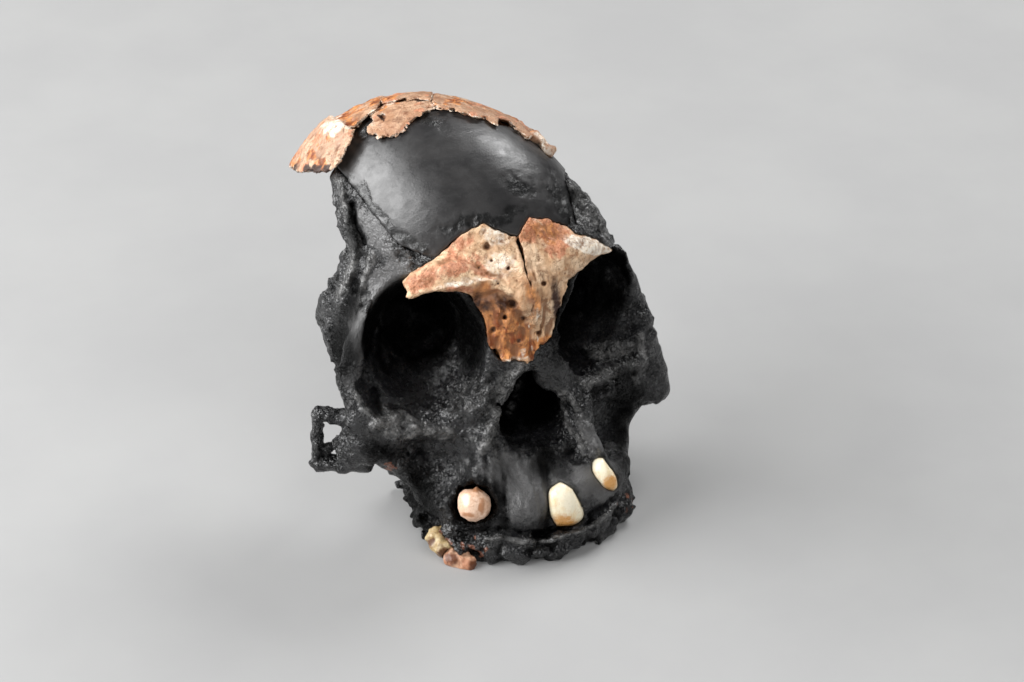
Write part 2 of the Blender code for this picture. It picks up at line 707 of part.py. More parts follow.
def main():
    for old in list(bpy.data.objects):
        bpy.data.objects.remove(old, do_unlink=True)
    colours = materials()
    cutter = make_table_cutter()
    pieces = []
    for name, field, box, voxel, triangles, colour in parts():
        piece = make_piece(name, field, box, voxel, triangles, colours[colour])
        if name in ("face_reconstruction", "cheek_tooth_front", "cheek_tooth_rear"):
            cut_flat(piece, cutter)
        pieces.append(piece)
    place(pieces, cutter)


if __name__ == "__main__":
    main()
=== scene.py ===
"""Detailed fossil skull of a hominin child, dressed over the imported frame.

Shapes are distance fields in millimetres in the skull's own frame, as in the solids, with fine relief added.
Skull frame: X to the skull's left, Y back, Z up, with its origin at the lower tip of the nasal bones.
Places on the visible side are given in the photograph's pixels, which seen_in_picture() gives for any point.
"""
import math
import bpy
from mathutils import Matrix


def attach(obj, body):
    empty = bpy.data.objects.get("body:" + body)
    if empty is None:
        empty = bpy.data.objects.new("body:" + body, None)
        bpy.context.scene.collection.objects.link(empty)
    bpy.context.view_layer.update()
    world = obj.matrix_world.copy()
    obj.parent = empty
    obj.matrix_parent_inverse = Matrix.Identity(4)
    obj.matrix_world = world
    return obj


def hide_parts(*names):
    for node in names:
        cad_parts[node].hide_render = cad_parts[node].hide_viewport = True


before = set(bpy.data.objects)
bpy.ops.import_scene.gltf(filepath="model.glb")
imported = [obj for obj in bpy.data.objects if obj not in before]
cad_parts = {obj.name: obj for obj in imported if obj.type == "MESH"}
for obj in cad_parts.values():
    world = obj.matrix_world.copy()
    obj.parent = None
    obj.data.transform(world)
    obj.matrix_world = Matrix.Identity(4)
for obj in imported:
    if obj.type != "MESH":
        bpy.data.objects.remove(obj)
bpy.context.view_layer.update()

from concurrent.futures import ThreadPoolExecutor
from functools import partial

import bpy
import numpy as np
import openvdb
from mathutils import Matrix, Vector

MM = 0.001
# The skull frame's origin in the row frame, in mm
ORIGIN = (0.3566, -28.2502, 48.4)

# The photograph's view: angles, distance from the nasal tip in mm, and scale at the tip
VIEW_SWING_DEG = 23.0
VIEW_LIFT_DEG = 33.0
VIEW_DISTANCE = 693.8
FRAME_PX = (1024, 682)
NASAL_TIP_PX = (520.0, 362.0)
PX_PER_MM = 4.1
LENS = 100.0
SENSOR = 36.0

# Main forms in mm, as in the solids
VAULT_CENTRE = (-3.0, 39.5, 6.0)
VAULT_RADII = (32.5, 44.0, 45.0)
VAULT_TURN_DEG = (0.0, -9.5, 34.0)
SHELL = 4.6
PIECE_GAP = 0.12
ORBIT_CENTRE = (22.4, 8.5, 5.2)
ORBIT_RADII = (14.4, 14.0, 18.2)
ORBIT_WALL = 2.8
NOSE_HALF_WIDTH = 9.5
JAW_EDGE_Z = -44.6
JAW_BASE_Z = -21.0
JAW_LEAN = 3.2
LEAN_FROM_Z = -3.0
LEAN_TO_Z = -20.0
REAR_EDGE_HEIGHTS = (-22, -5, 5, 13, 24, 31, 36, 46)
REAR_EDGE_BACKS = (38, 38.5, 36, 31.5, 29, 36, 43, 49)
BONE_DEPTH = 3.0
BONE_PROUD = 0.7
BONE_REACH = 6.5
TOOTH_EDGE = 1.3
CRYPT_RADIUS = 5.9
CRYPT_DEPTH = 7.0
CRACK_HEIGHTS = (0, 21, 23.5, 26.5, 29.5, 31)
CRACK_HALF_WIDTHS = (0.05, 0.06, 0.3, 0.5, 0.4, 0.12)

# Voxel sizes in mm and limits on triangles
CAST_VOXEL = 0.5
FRONTAL_VOXEL = 0.3
VAULT_VOXEL = 0.34
TOOTH_VOXEL = 0.24
FACE_TRIANGLES = 194000
FILL_TRIANGLES = 120000
# Fine voxels to a coarse one, and how far from the surface, in coarse voxels, fine samples are taken
COARSE_STEP = 3
BAND = 1.7
# Depth in mm within which relief is added, a distance beyond any piece, and points worked out at a time
RELIEF_REACH = 2.2
FAR = 50.0
CHUNK = 60000

# Lowest and highest corner in mm of the space in which each kind of piece lies
FRONTAL_BOX = ((-34, -10, -5), (36, 22, 41))
VAULT_BOX = ((-46, 18, 8), (32, 86, 60))
TEETH_BOX = ((-31, -24, -57), (31, 11, -19))
FACE_BOX = ((-52, -23, -53), (52, 54, 54))
FILL_BOX = ((-37, -1, 4), (37, 66, 57))

# Outlines as seen from the skull's right front: mm right of and above the nasal tip
FILL_OUTLINE = ((-56, 74), (-44.4, 47.5), (-29.3, 28.7), (-26.5, 27.8), (-19.5, 24.5), (0, 24.5),
                (13.0, 29.8), (13.8, 32.6), (10.7, 45.2), (14.5, 74))
FRONTAL_OUTLINE = ((-28.3, 19.3), (-26.6, 21.7), (-20.7, 25.1), (-15.6, 30.2), (-13.2, 31.5), (-8.8, 33.7),
                   (-6.1, 32.2), (-3.9, 31.5), (-0.7, 30.5), (1.5, 33.7), (2.4, 35.1), (6.6, 34.9),
                   (11.2, 32.9), (13.2, 31.2), (18.5, 29.8), (22.4, 27.3), (18.5, 25.6), (14.6, 22.4),
                   (11.7, 20.0), (10.5, 16.6), (8.8, 11.5), (7.6, 6.3), (3.2, 2.9), (2.2, 0.2), (-0.2, 0.2),
                   (-3.2, 0.5), (-5.4, 1.2), (-7.1, 4.1), (-8.0, 7.6), (-9.0, 11.5), (-12.2, 16.8),
                   (-15.6, 17.8), (-20.7, 18.0), (-24.1, 16.8), (-26.6, 14.9))
CRACK_LINE = ((-0.8, 36.0), (-0.4, 29.5), (0.6, 25.6), (1.4, 22.4), (2.4, 19.6), (2.9, 16.0), (3.4, 9.0),
              (3.6, -2.0))
FAR_LEFT_OUTLINE = ((-55.9, 47.6), (-57.5, 51.5), (-53.5, 55.0), (-49.5, 58.5), (-47.0, 60.5), (-43.4, 57.3),
                    (-40.6, 56.7), (-41.2, 54.9), (-42.2, 52.7), (-43.7, 49.5), (-45.1, 47.8), (-46.3, 46.8),
                    (-49.0, 46.3), (-51.3, 46.6), (-54.1, 46.6))
UPPER_BAND_OUTLINE = ((-46.8, 62.0), (-43.0, 57.6), (-40.4, 57.2), (-38.9, 58.8), (-36.6, 60.9),
                      (-34.6, 62.2), (-32.5, 66.5), (-38.0, 68.0))
CENTRE_OUTLINE = ((-36.6, 60.2), (-35.4, 58.3), (-36.8, 57.0), (-36.8, 55.8), (-35.0, 55.2), (-32.9, 54.5),
                  (-30.2, 55.2), (-28.4, 56.7), (-27.0, 58.0), (-25.3, 60.0), (-22.6, 61.3), (-20.7, 62.3),
                  (-22.0, 63.2), (-24.1, 63.7), (-29.2, 63.5), (-33.0, 62.8), (-35.2, 61.4))
TOP_OUTLINE = ((-33.7, 63.0), (-29.4, 63.9), (-24.4, 64.1), (-21.8, 63.8), (-21.2, 67.5), (-30.0, 68.0),
               (-34.5, 66.5))
RIGHT_BAND_OUTLINE = ((-20.8, 67.5), (-21.3, 63.4), (-20.3, 62.2), (-18.5, 61.7), (-14.9, 61.3),
                      (-11.7, 60.2), (-8.5, 59.2), (-6.0, 58.0), (-4.4, 57.7), (-1.7, 57.4), (0.4, 56.2),
                      (2.3, 54.7), (4.6, 56.5), (5.5, 60.0), (-4.0, 68.0))
CANINE_RIGHT_OUTLINE = ((-15.1, -31.7), (-13.7, -31.0), (-11.5, -31.0), (-10.5, -30.1), (-9.8, -31.0),
                        (-7.4, -32.8), (-7.0, -35.1), (-7.8, -37.6), (-10.7, -39.0), (-12.4, -38.8),
                        (-14.4, -37.6), (-15.2, -35.5))
INCISOR_OUTLINE = ((6.2, -30.5), (9.9, -29.1), (12.8, -31.0), (15.6, -35.9), (16.5, -38.8), (13.2, -40.0),
                   (9.0, -40.0), (7.6, -37.6))
CANINE_LEFT_OUTLINE = ((16.8, -24.4), (18.0, -23.2), (20.2, -23.5), (23.4, -28.0), (24.3, -31.0),
                       (22.7, -31.6), (20.2, -30.5), (17.3, -26.8))

# Vault fragments in the order in which they are built: name, slot, outline, height of the outer face over the
# vault, thickness, and how far the piece reaches round out of sight
VAULT_PIECES = (
    ("vault_centre", "bone_orange", CENTRE_OUTLINE, 1.7, 2.6, -0.03),
    ("vault_far_left", "bone_pink", FAR_LEFT_OUTLINE, 3.8, 3.2, 0.22),
    ("vault_right", "bone_orange", RIGHT_BAND_OUTLINE, 1.8, 2.8, 0.22),
    ("vault_top", "bone_orange", TOP_OUTLINE, 2.2, 3.0, 0.22),
    ("vault_upper_left", "bone_orange", UPPER_BAND_OUTLINE, 2.4, 3.0, 0.22),
    ("vault_right_end", "bone_pink", RIGHT_BAND_OUTLINE, 1.8, 2.8, 0.22),
)


# Distance fields

def row(values):
    return np.asarray(values, np.float32)


def turn_matrix(degrees):
    """Turn about X, then Y, then Z"""
    x, y, z = (math.radians(angle) for angle in degrees)
    turn = Matrix.Rotation(z, 3, "Z") @ Matrix.Rotation(y, 3, "Y") @ Matrix.Rotation(x, 3, "X")
    return np.array(turn, np.float32)


def ellipsoid(p, centre, radii, turn=None):
    q = p - row(centre)
    if turn:
        q = q @ turn_matrix(turn)
    radii = row(radii)
    scaled = np.linalg.norm(q / radii, axis=-1)
    slope = np.linalg.norm(q / (radii * radii), axis=-1)
    return scaled * (scaled - 1) / np.maximum(slope, 1e-6)


def rod(p, start, end, start_radius, end_radius):
    start, end = row(start), row(end)
    along = end - start
    share = np.clip(((p - start) @ along) / float(along @ along), 0, 1)
    gap = np.linalg.norm(p - start - share[:, None] * along, axis=-1)
    return gap - (start_radius + (end_radius - start_radius) * share)


def chain(p, points, radii):
    """Tapered rods from point to point"""
    links = [rod(p, points[i], points[i + 1], radii[i], radii[i + 1]) for i in range(len(points) - 1)]
    return np.minimum.reduce(links)


def half_space(p, normal, point):
    """Negative on the side that the normal points away from"""
    normal = row(normal) / np.linalg.norm(normal)
    return (p - row(point)) @ normal


def blend(a, b, softness):
    """Union with a soft join"""
    near = np.maximum(softness - np.abs(a - b), 0) / softness
    return np.minimum(a, b) - near * near * softness * 0.25


def carve(a, b, softness):
    """a without b, with a soft edge"""
    return -blend(-a, b, softness)


def keep(a, b, softness):
    """What a and b share, with a soft edge"""
    return -blend(-a, -b, softness)


def both_sides(p):
    """Right side folded onto the left"""
    folded = p.copy()
    folded[:, 0] = np.abs(folded[:, 0])
    return folded


# The photograph's view

def view_axes():
    swing, lift = math.radians(VIEW_SWING_DEG), math.radians(VIEW_LIFT_DEG)
    toward = row((-math.sin(swing) * math.cos(lift), -math.cos(swing) * math.cos(lift), math.sin(lift)))
    right = row((math.cos(swing), -math.sin(swing), 0))
    up = row((math.sin(swing) * math.sin(lift), math.cos(swing) * math.sin(lift), math.cos(lift)))
    return right, up, toward


def seen(p):
    """Where points appear in the measuring view, in mm at the nasal tip"""
    right, up, toward = view_axes()
    zoom = VIEW_DISTANCE / (VIEW_DISTANCE - p @ toward)
    return (p @ right) * zoom, (p @ up) * zoom


def seen_in_picture(p):
    """Where points appear in the photograph, in its pixels"""
    u, v = seen(p)
    return NASAL_TIP_PX[0] + u * PX_PER_MM, NASAL_TIP_PX[1] - v * PX_PER_MM


def at(right_mm, up_mm, back_mm):
    """Skull point that appears at right_mm, up_mm and lies back_mm behind the nasal tip"""
    right, up, toward = (axis.astype(float) for axis in view_axes())
    eye = toward * VIEW_DISTANCE
    ray = right * right_mm + up * up_mm - eye
    return eye + ray * ((back_mm - eye[1]) / ray[1])


def squared_gap(u, v, start, end):
    """Square of the distance to a straight line from start to end"""
    (ax, ay), (bx, by) = start, end
    ex, ey = bx - ax, by - ay
    share = np.clip(((u - ax) * ex + (v - ay) * ey) / (ex * ex + ey * ey), 0, 1)
    return (u - ax - share * ex) ** 2 + (v - ay - share * ey) ** 2


def outline_distance(u, v, corners):
    """Distance to a closed outline, negative inside it"""
    nearest = np.full(u.shape, 1e9, np.float32)
    inside = np.zeros(u.shape, bool)
    for start, end in zip(corners, corners[1:] + corners[:1]):
        nearest = np.minimum(nearest, squared_gap(u, v, start, end))
        (ax, ay), (bx, by) = start, end
        if ay != by:
            inside ^= ((ay <= v) != (by <= v)) & (u < (bx - ax) * (v - ay) / (by - ay) + ax)
    nearest = np.sqrt(nearest)
    return np.where(inside, -nearest, nearest)


def inside_outline(p, corners, ragged=0.0):
    """Prism along the view, negative inside its outline, which may be ragged by so many mm"""
    distance = outline_distance(*seen(p), corners)
    if ragged:
        distance = distance + ragged * (0.65 * noise(p, 1.5, 5) + 0.45 * noise(p, 0.7, 6))
    return distance


# Noise and masks

def make_tables(count, size):
    source = np.random.default_rng(2015)
    return [source.random((size,) * 3, dtype=np.float32) * 2 - 1 for _ in range(count)]


NOISE_SIZE = 64
TABLES = make_tables(12, NOISE_SIZE)
NOISE_TURN = turn_matrix((31.0, 17.0, 53.0))


def noise(p, size, seed, stretch=None):
    """Smooth noise from -1 to 1 with lumps about size mm across, longer along the axes that stretch names"""
    q = (p / row(stretch)) if stretch else (p @ NOISE_TURN)
    q = q / size + 0.37 * seed
    cell = np.floor(q)
    share = (q - cell).astype(np.float32)
    share = share * share * (3 - 2 * share)
    low = cell.astype(np.int32) & (NOISE_SIZE - 1)
    high = (low + 1) & (NOISE_SIZE - 1)
    table = TABLES[seed % len(TABLES)]
    x0, y0, z0 = low.T
    x1, y1, z1 = high.T
    sx, sy, sz = share.T
    near = (table[x0, y0, z0] * (1 - sx) + table[x1, y0, z0] * sx) * (1 - sy)
    near = near + (table[x0, y1, z0] * (1 - sx) + table[x1, y1, z0] * sx) * sy
    far = (table[x0, y0, z1] * (1 - sx) + table[x1, y0, z1] * sx) * (1 - sy)
    far = far + (table[x0, y1, z1] * (1 - sx) + table[x1, y1, z1] * sx) * sy
    return near * (1 - sz) + far * sz


def fractal(p, size, seed, octaves=3):
    """Noise with ever finer lumps added, about -1 to 1"""
    total = np.zeros(len(p), np.float32)
    for octave in range(octaves):
        total += noise(p, size / 2.1 ** octave, seed + octave) * 0.6 ** octave
    return total / 1.4


def seams(p, size, seed, width):
    """1 on thin wandering lines, 0 off them"""
    return 1 - step(np.abs(fractal(p, size, seed, 2)), 0.0, width)


def warped_picture(p, wander):
    """Where points appear in the photograph, moved about by so many pixels for uneven borders"""
    x, y = seen_in_picture(p)
    x = x + wander * (noise(p, 4.0, 5) + 0.6 * noise(p, 1.7, 6) + 0.3 * noise(p, 0.8, 11))
    y = y + wander * (noise(p, 4.0, 7) + 0.6 * noise(p, 1.7, 8) + 0.3 * noise(p, 0.8, 10))
    return x, y


def step(value, low, high):
    """Smooth rise from 0 at low to 1 at high"""
    share = np.clip((value - low) / (high - low), 0, 1)
    return share * share * (3 - 2 * share)


def spot(x, y, ellipse):
    """1 inside a turned ellipse in the picture, falling softly to 0 outside"""
    centre_x, centre_y, half_width, half_height, turn_deg, soft = ellipse
    turn = math.radians(turn_deg)
    dx, dy = x - centre_x, y - centre_y
    across = (dx * math.cos(turn) + dy * math.sin(turn)) / half_width
    down = (dy * math.cos(turn) - dx * math.sin(turn)) / half_height
    return 1 - step(np.sqrt(across * across + down * down), 1 - soft, 1 + soft)


def spots(x, y, ellipses):
    return np.maximum.reduce([np.zeros(x.shape, np.float32), *(spot(x, y, one) for one in ellipses)])


def stroke(x, y, points, width):
    """1 on a line through points in the picture, falling to 0 at its width"""
    nearest = np.full(x.shape, 1e9, np.float32)
    for start, end in zip(points, points[1:]):
        nearest = np.minimum(nearest, squared_gap(x, y, start, end))
    return 1 - step(np.sqrt(nearest), 0.0, width)


# Braincase and face as one body before it is divided

def vault(p):
    return ellipsoid(p, VAULT_CENTRE, VAULT_RADII, VAULT_TURN_DEG)


def vault_normal(p):
    turn, radii = turn_matrix(VAULT_TURN_DEG), row(VAULT_RADII)
    normal = ((p - row(VAULT_CENTRE)) @ turn / (radii * radii)) @ turn.T
    return normal / np.maximum(np.linalg.norm(normal, axis=-1), 1e-6)[:, None]


def turned_away(p, limit):
    """Negative where the vault's surface faces the measuring view more than -limit, scaled to mm"""
    facing = vault_normal(p) @ view_axes()[2]
    return -(facing + limit) * float(np.mean(VAULT_RADII))


def rear_edge(p):
    """Broken rear edge of the black walls, which runs back at the top and the bottom"""
    back = np.interp(p[:, 2], REAR_EDGE_HEIGHTS, REAR_EDGE_BACKS)
    return (p[:, 1] - back + 0.06 * p[:, 0]).astype(np.float32)


def braincase(p):
    q = both_sides(p)
    temple = ellipsoid(q, (26, 31, 2), (10.5, 16, 18))
    lump = chain(q, ((33.5, 33, -2), (33, 30, -12)), (4.2, 4.5))
    body = blend(blend(vault(p), temple, 7), lump, 3)
    body = keep(body, half_space(p, (0, 0.05, -1), (0, 30, JAW_BASE_Z)), 2)
    return keep(body, rear_edge(p) + 0.6 * noise(p, 3.5, 1) + 0.3 * noise(p, 1.3, 2), 1.0)


def cavity(p):
    """Hollow of the braincase, open at the back and below"""
    q = both_sides(p)
    hollow = ellipsoid(p, VAULT_CENTRE, tuple(r - SHELL for r in VAULT_RADII), VAULT_TURN_DEG)
    low = ellipsoid(q, (19, 38, -6), (12.6, 17, 20))
    rear = ellipsoid(p, (-2, 62, -4), (30, 30, 40))
    hollow = blend(blend(hollow, low, 5), rear, 4)
    behind_nose = half_space(p, (0, -1, 0.5), (0, 27, -6))
    return keep(hollow, behind_nose, 4)


def orbit(p, grow=0.0):
    q = both_sides(p)
    mouth = ellipsoid(q, ORBIT_CENTRE, tuple(r + grow for r in ORBIT_RADII), (0, 6, 0))
    cone = chain(q, ((22.4, 4, 5.0), (18.5, 20, 3.5), (14, 29, 4.5)), (13.6 + grow, 9.5 + grow, 2.6 + grow))
    return blend(mouth, cone, 3)


def orbit_rims(p):
    q = both_sides(p)
    brow = chain(q, ((2, 3.2, 17), (8, 3.6, 23), (17, 5.0, 26.4), (25.5, 8.5, 22.5), (31.7, 14, 13.5)),
                 (4.6, 3.6, 2.9, 3.0, 3.0))
    side = chain(q, ((31.7, 14, 13.5), (36.6, 16.5, 4), (38.8, 16.5, -5), (36.5, 13.0, -14)),
                 (3.0, 2.8, 3.0, 3.8))
    under = chain(q, ((36.5, 13, -14), (28, 8.5, -18), (18, 4.5, -17), (10.5, 2.5, -9), (8.0, 2.0, -2)),
                  (3.8, 3.0, 2.6, 2.4, 2.4))
    return blend(blend(brow, side, 2), under, 2)


def leaning(p):
    """Points moved over so that the leaning midline of the lower face stands at X = 0"""
    share = np.clip((LEAN_FROM_Z - p[:, 2]) / (LEAN_FROM_Z - LEAN_TO_Z), 0, 1)
    moved = p.copy()
    moved[:, 0] -= JAW_LEAN * share * share * (3 - 2 * share)
    return moved


def cheeks(p):
    q = both_sides(p)
    bone = chain(q, ((30, 11.5, -19), (36.5, 14, -22), (38.5, 14.5, -25)), (5.5, 5.2, 4.6))
    root_left = chain(p, ((35, 13, -24), (30, 10, -31), (27, 8, -37)), (5.0, 4.8, 5.0))
    root_right = chain(p, ((-33, 12.5, -24), (-24, 9, -31), (-19, 7, -37)), (4.4, 4.0, 3.8))
    root = np.minimum(root_left, root_right)
    left_corner = chain(p, ((39, 16, -6), (41.8, 16, -18), (43.0, 14.0, -27)), (3.4, 4.0, 4.6))
    return blend(blend(bone, root, 4), left_corner, 3)


def upper_jaw(p):
    p = leaning(p)
    q = both_sides(p)
    jaw = chain(q, ((6, -8.5, -36), (14, -6, -36), (20, 0, -37), (21, 10, -37), (20, 22, -36)),
                (8.0, 7.5, 6.5, 6.2, 6.0))
    body = ellipsoid(p, (0, 12, -24), (26, 18, 16))
    pillar = chain(q, ((8.8, 1.0, -7), (12.5, -1.5, -18), (15.5, -5, -28)), (2.4, 3.2, 4.4))
    edge = chain(q, ((0, -14.6, JAW_EDGE_Z), (7, -14, JAW_EDGE_Z - 0.3), (15, -10.6, JAW_EDGE_Z),
                     (22.5, -4, JAW_EDGE_Z), (24.5, 8, JAW_EDGE_Z - 0.2), (22.5, 24, JAW_EDGE_Z - 0.2)),
                 (4.2, 4.2, 4.3, 4.2, 4.2, 4.2))
    return blend(blend(blend(jaw, body, 8), pillar, 4), edge, 4)


def nose(p):
    leant = leaning(p)
    low = ellipsoid(both_sides(leant), (NOSE_HALF_WIDTH - 6.5, 0, -16), (6.8, 16, 7.8))
    high = chain(leant, ((0, -4, -4.6), (0, 6, -6.5), (0, 16, -10)), (3.2, 4.2, 5.0))
    passage = rod(leant, (0, 6, -14), (0, 12, -14), 8.0, 7.0)
    opening = blend(blend(low, high, 3.5), passage, 3)
    return np.maximum(opening, -orbit(p, 1.6))


def palate(p):
    p = leaning(p)
    front = ellipsoid(p, (0, 7, -50), (14.5, 15.5, 13.5))
    back = rod(p, (0, 12, -51), (0, 42, -50), 14, 15)
    return blend(front, back, 4)


def inward():
    """Direction into the skull along the measuring view"""
    return -view_axes()[2].astype(float)


def crypt(p):
    """Open pit in which the right canine lies"""
    mouth = at(-11.4, -34.7, -11.0)
    return rod(p, mouth - inward() * 3.0, mouth + inward() * CRYPT_DEPTH, CRYPT_RADIUS, CRYPT_RADIUS - 1.0)


def arch_stump(p):
    """Broken start of the right cheek's arch: an uneven frame around a window"""
    corner_top = at(-49.2, -12.8, 21)
    corner_low = at(-49.6, -24.8, 20.5)
    root_top = at(-40.0, -13.8, 16.5)
    root_low = at(-38.0, -24.2, 15.5)
    frame_rods = [
        rod(p, root_top, corner_top, 2.2, 1.5),
        rod(p, corner_top, corner_low, 1.3, 1.5),
        rod(p, corner_low, root_low, 2.0, 3.3),
        rod(p, at(-39.0, -16.0, 16.5), at(-47.2, -21.6, 20), 1.6, 1.2),
    ]
    return np.minimum.reduce(frame_rods)


def cheek_tooth_socket(p):
    """Swelling of the jaw's edge that holds the two cheek teeth"""
    return chain(p, (at(-17.4, -41.5, -1.5), at(-13.5, -45.6, -8.0)), (3.4, 3.2))


def temple_spike(p):
    """Thin ragged edge of the left temple that stands above the vault's outline"""
    return rod(p, at(18.0, 33.5, 12), at(11.6, 44.6, 19.5), 3.0, 0.7)


def mid_face(p):
    core = ellipsoid(p, (0, 21, -2), (35, 22, 22))
    body = blend(core, orbit_rims(p), 5)
    bridge = chain(p, ((0, 2.5, 20), (0, 5.5, 11), (0, 3.4, 1.2)), (6.5, 6.5, 4.8))
    body = blend(body, bridge, 4)
    body = blend(body, cheeks(p), 4)
    body = blend(body, upper_jaw(p), 5)
    fossa = ellipsoid(both_sides(p), (24.5, -2.0, -24.5), (7.5, 6.5, 7.5))
    body = carve(body, fossa, 5)
    return keep(body, half_space(p, (0, 1, -0.15), (0, 28, -34)) + 0.8 * noise(p, 3.0, 3), 1.2)


def closed_form(p):
    """Outside of the skull without any opening"""
    return blend(braincase(p), mid_face(p), 5)


def reconstruction(p):
    body = carve(closed_form(p), orbit(p), 1.4)
    hollow = cavity(p)
    hollow = np.maximum(hollow, -orbit(p, ORBIT_WALL))
    body = carve(body, hollow, 1.5)
    body = carve(body, nose(p), 1.0)
    body = carve(body, palate(p), 2)
    q = both_sides(p)
    behind_rim = ellipsoid(q, (42.5, 26, 2), (6.0, 6.5, 14), (0, 8, 0))
    under_temple = ellipsoid(q, (38, 30, -27), (9.5, 9, 12))
    body = carve(carve(body, behind_rim, 3), under_temple, 3)
    body = blend(body, arch_stump(p), 1.5)
    body = blend(body, temple_spike(p), 1.5)
    body = blend(body, cheek_tooth_socket(p), 1.5)
    return carve(body, crypt(p), 1.0)


# Pieces

def fill_body(p):
    shell = np.maximum(vault(p) - 0.3, -(vault(p) + SHELL))
    rear = half_space(p, (-0.15, 1, 0), (0, 55, 0))
    return np.maximum.reduce([shell, inside_outline(p, FILL_OUTLINE, 0.3), rear, turned_away(p, 0.3)])


def frontal_body(p):
    closed = closed_form(p)
    form = carve(closed, orbit(p), 1.4)
    slab = np.maximum(form - BONE_PROUD, -(form + BONE_DEPTH))
    front = np.maximum(half_space(p, (0, 1, 0), (0, 18, 0)), -(closed + BONE_REACH))
    low = half_space(p, (0, 0, -1), (0, 0, -2.5))
    return np.maximum.reduce([slab, inside_outline(p, FRONTAL_OUTLINE, 0.4), front, low])


def crack(p):
    """Side of the frontal crack: negative on the skull's right"""
    u, v = seen(p)
    heights = [point[1] for point in reversed(CRACK_LINE)]
    places = [point[0] for point in reversed(CRACK_LINE)]
    return (u - np.interp(v, heights, places) + 0.3 * noise(p, 1.6, 7)).astype(np.float32)


def crack_gap(p):
    """Half the width of the crack, widest near its top"""
    v = seen(p)[1]
    return np.interp(v, CRACK_HEIGHTS, CRACK_HALF_WIDTHS).astype(np.float32)


def frontal_right(p):
    return np.maximum(frontal_body(p), crack(p) + crack_gap(p))


def frontal_left(p):
    return np.maximum(frontal_body(p), crack_gap(p) - crack(p))


def vault_bone(p, outline, proud, depth, reach):
    """Slab of the vault with uneven faces and a broken edge in thin layers"""
    height = vault(p)
    slab = np.maximum(height - proud, proud - depth - height)
    layers = 0.30 * np.sin(height * 7.0 + 2.0 * noise(p, 2.5, 2)) * step(noise(p, 3.0, 4), -0.5, 0.3)
    edge = inside_outline(p, outline, 0.55) + layers
    return np.maximum.reduce([slab, edge, turned_away(p, reach)])


def right_knob(p):
    """Knobbly last bits of the right band"""
    bits = chain(p, (at(3.4, 55.4, 30), at(5.4, 53.6, 28), at(7.0, 51.4, 27)), (1.3, 1.0, 1.7))
    return np.maximum(bits, 0.2 - vault(p))


def tooth(p, outline, centre, radii, root_radius, root_length, turn=None):
    """Crown with the outline seen, bulging outwards, and a root that runs into the jaw"""
    bulge = ellipsoid(p, centre, radii, turn)
    crown = keep(inside_outline(p, outline), bulge, TOOTH_EDGE)
    start = centre + inward() * 0.5
    root = rod(p, start, start + inward() * root_length, root_radius, root_radius * 0.7)
    return blend(crown, root, 1.0)


def canine_right(p):
    return tooth(p, CANINE_RIGHT_OUTLINE, at(-11.3, -34.9, -8.4), (5.2, 4.6, 5.4), 3.0, 11.0)


def incisor(p):
    return tooth(p, INCISOR_OUTLINE, at(11.2, -34.7, -13.4), (6.4, 4.0, 7.4), 3.0, 6.0, (0, 0, 12))


def canine_left(p):
    return tooth(p, CANINE_LEFT_OUTLINE, at(20.6, -27.4, -10.0), (4.6, 4.0, 6.4), 1.9, 6.0, (0, 0, 40))


def cheek_tooth(p, ends, radii, middle, root):
    """Rounded crown from end to end, with a root from its middle"""
    return blend(chain(p, ends, radii), rod(p, middle, middle + row(root), 1.9, 1.5), 1.5)


def cheek_tooth_front(p):
    ends = (at(-16.6, -47.6, -8.5), at(-12.4, -49.0, -11.5))
    return cheek_tooth(p, ends, (2.3, 2.0), at(-14.6, -48.2, -9.5), (3.6, 4.0, 2.6))


def cheek_tooth_rear(p):
    ends = (at(-20.9, -42.3, -2.2), at(-18.8, -45.4, -5.8))
    return cheek_tooth(p, ends, (2.0, 2.5), at(-20.2, -43.4, -3.5), (4.5, 2.5, 2.0))


# Places on the black cast, as ellipses in the picture: middle, half width, half height, turn in degrees
# and how soft the border is, from 0 to 1

# Where the cast is coarse and granular
CRUMBLY = (
    (460, 398, 46, 24, -40, 0.35), (410, 424, 42, 10, 8, 0.5), (612, 348, 30, 15, -10, 0.5),
    (612, 378, 44, 20, -8, 0.4), (344, 240, 12, 70, 2, 0.5), (334, 310, 16, 40, 10, 0.5),
    (404, 250, 24, 10, 45, 0.6), (590, 210, 24, 44, -28, 0.4), (400, 462, 50, 24, 20, 0.5),
    (328, 440, 26, 40, 0, 0.5), (505, 395, 16, 44, 22, 0.5), (580, 405, 26, 26, -28, 0.5),
    (560, 552, 100, 16, -14, 0.4), (452, 550, 34, 40, 0, 0.5), (630, 500, 18, 26, 0, 0.5),
    (336, 385, 22, 40, -10, 0.5), (473, 505, 36, 34, 0, 0.3), (556, 352, 20, 14, 0, 0.6),
    (535, 440, 44, 16, 0, 0.5), (644, 350, 14, 60, -8, 0.5),
)
# Where it is smooth
SMOOTH = (
    (388, 286, 17, 36, 24, 0.35), (378, 232, 13, 26, -30, 0.4), (590, 432, 7, 20, -22, 0.5),
    (520, 486, 44, 34, 0, 0.6), (600, 480, 30, 22, 0, 0.6), (354, 350, 10, 40, 6, 0.4),
)
# Where it stays pitch black
SHADED = (
    (472, 330, 16, 44, 4, 0.4), (563, 312, 17, 48, -2, 0.4), (580, 570, 80, 17, -14, 0.35),
    (632, 432, 22, 70, -6, 0.4), (352, 232, 5, 26, -10, 0.5), (352, 300, 9, 30, 10, 0.5),
    (344, 350, 14, 34, 0, 0.5), (420, 500, 22, 44, 0, 0.5), (380, 452, 20, 10, 0, 0.6),
    (505, 512, 5, 28, 0, 0.6), (545, 462, 14, 20, 0, 0.6), (476, 505, 30, 30, 0, 0.2),
)
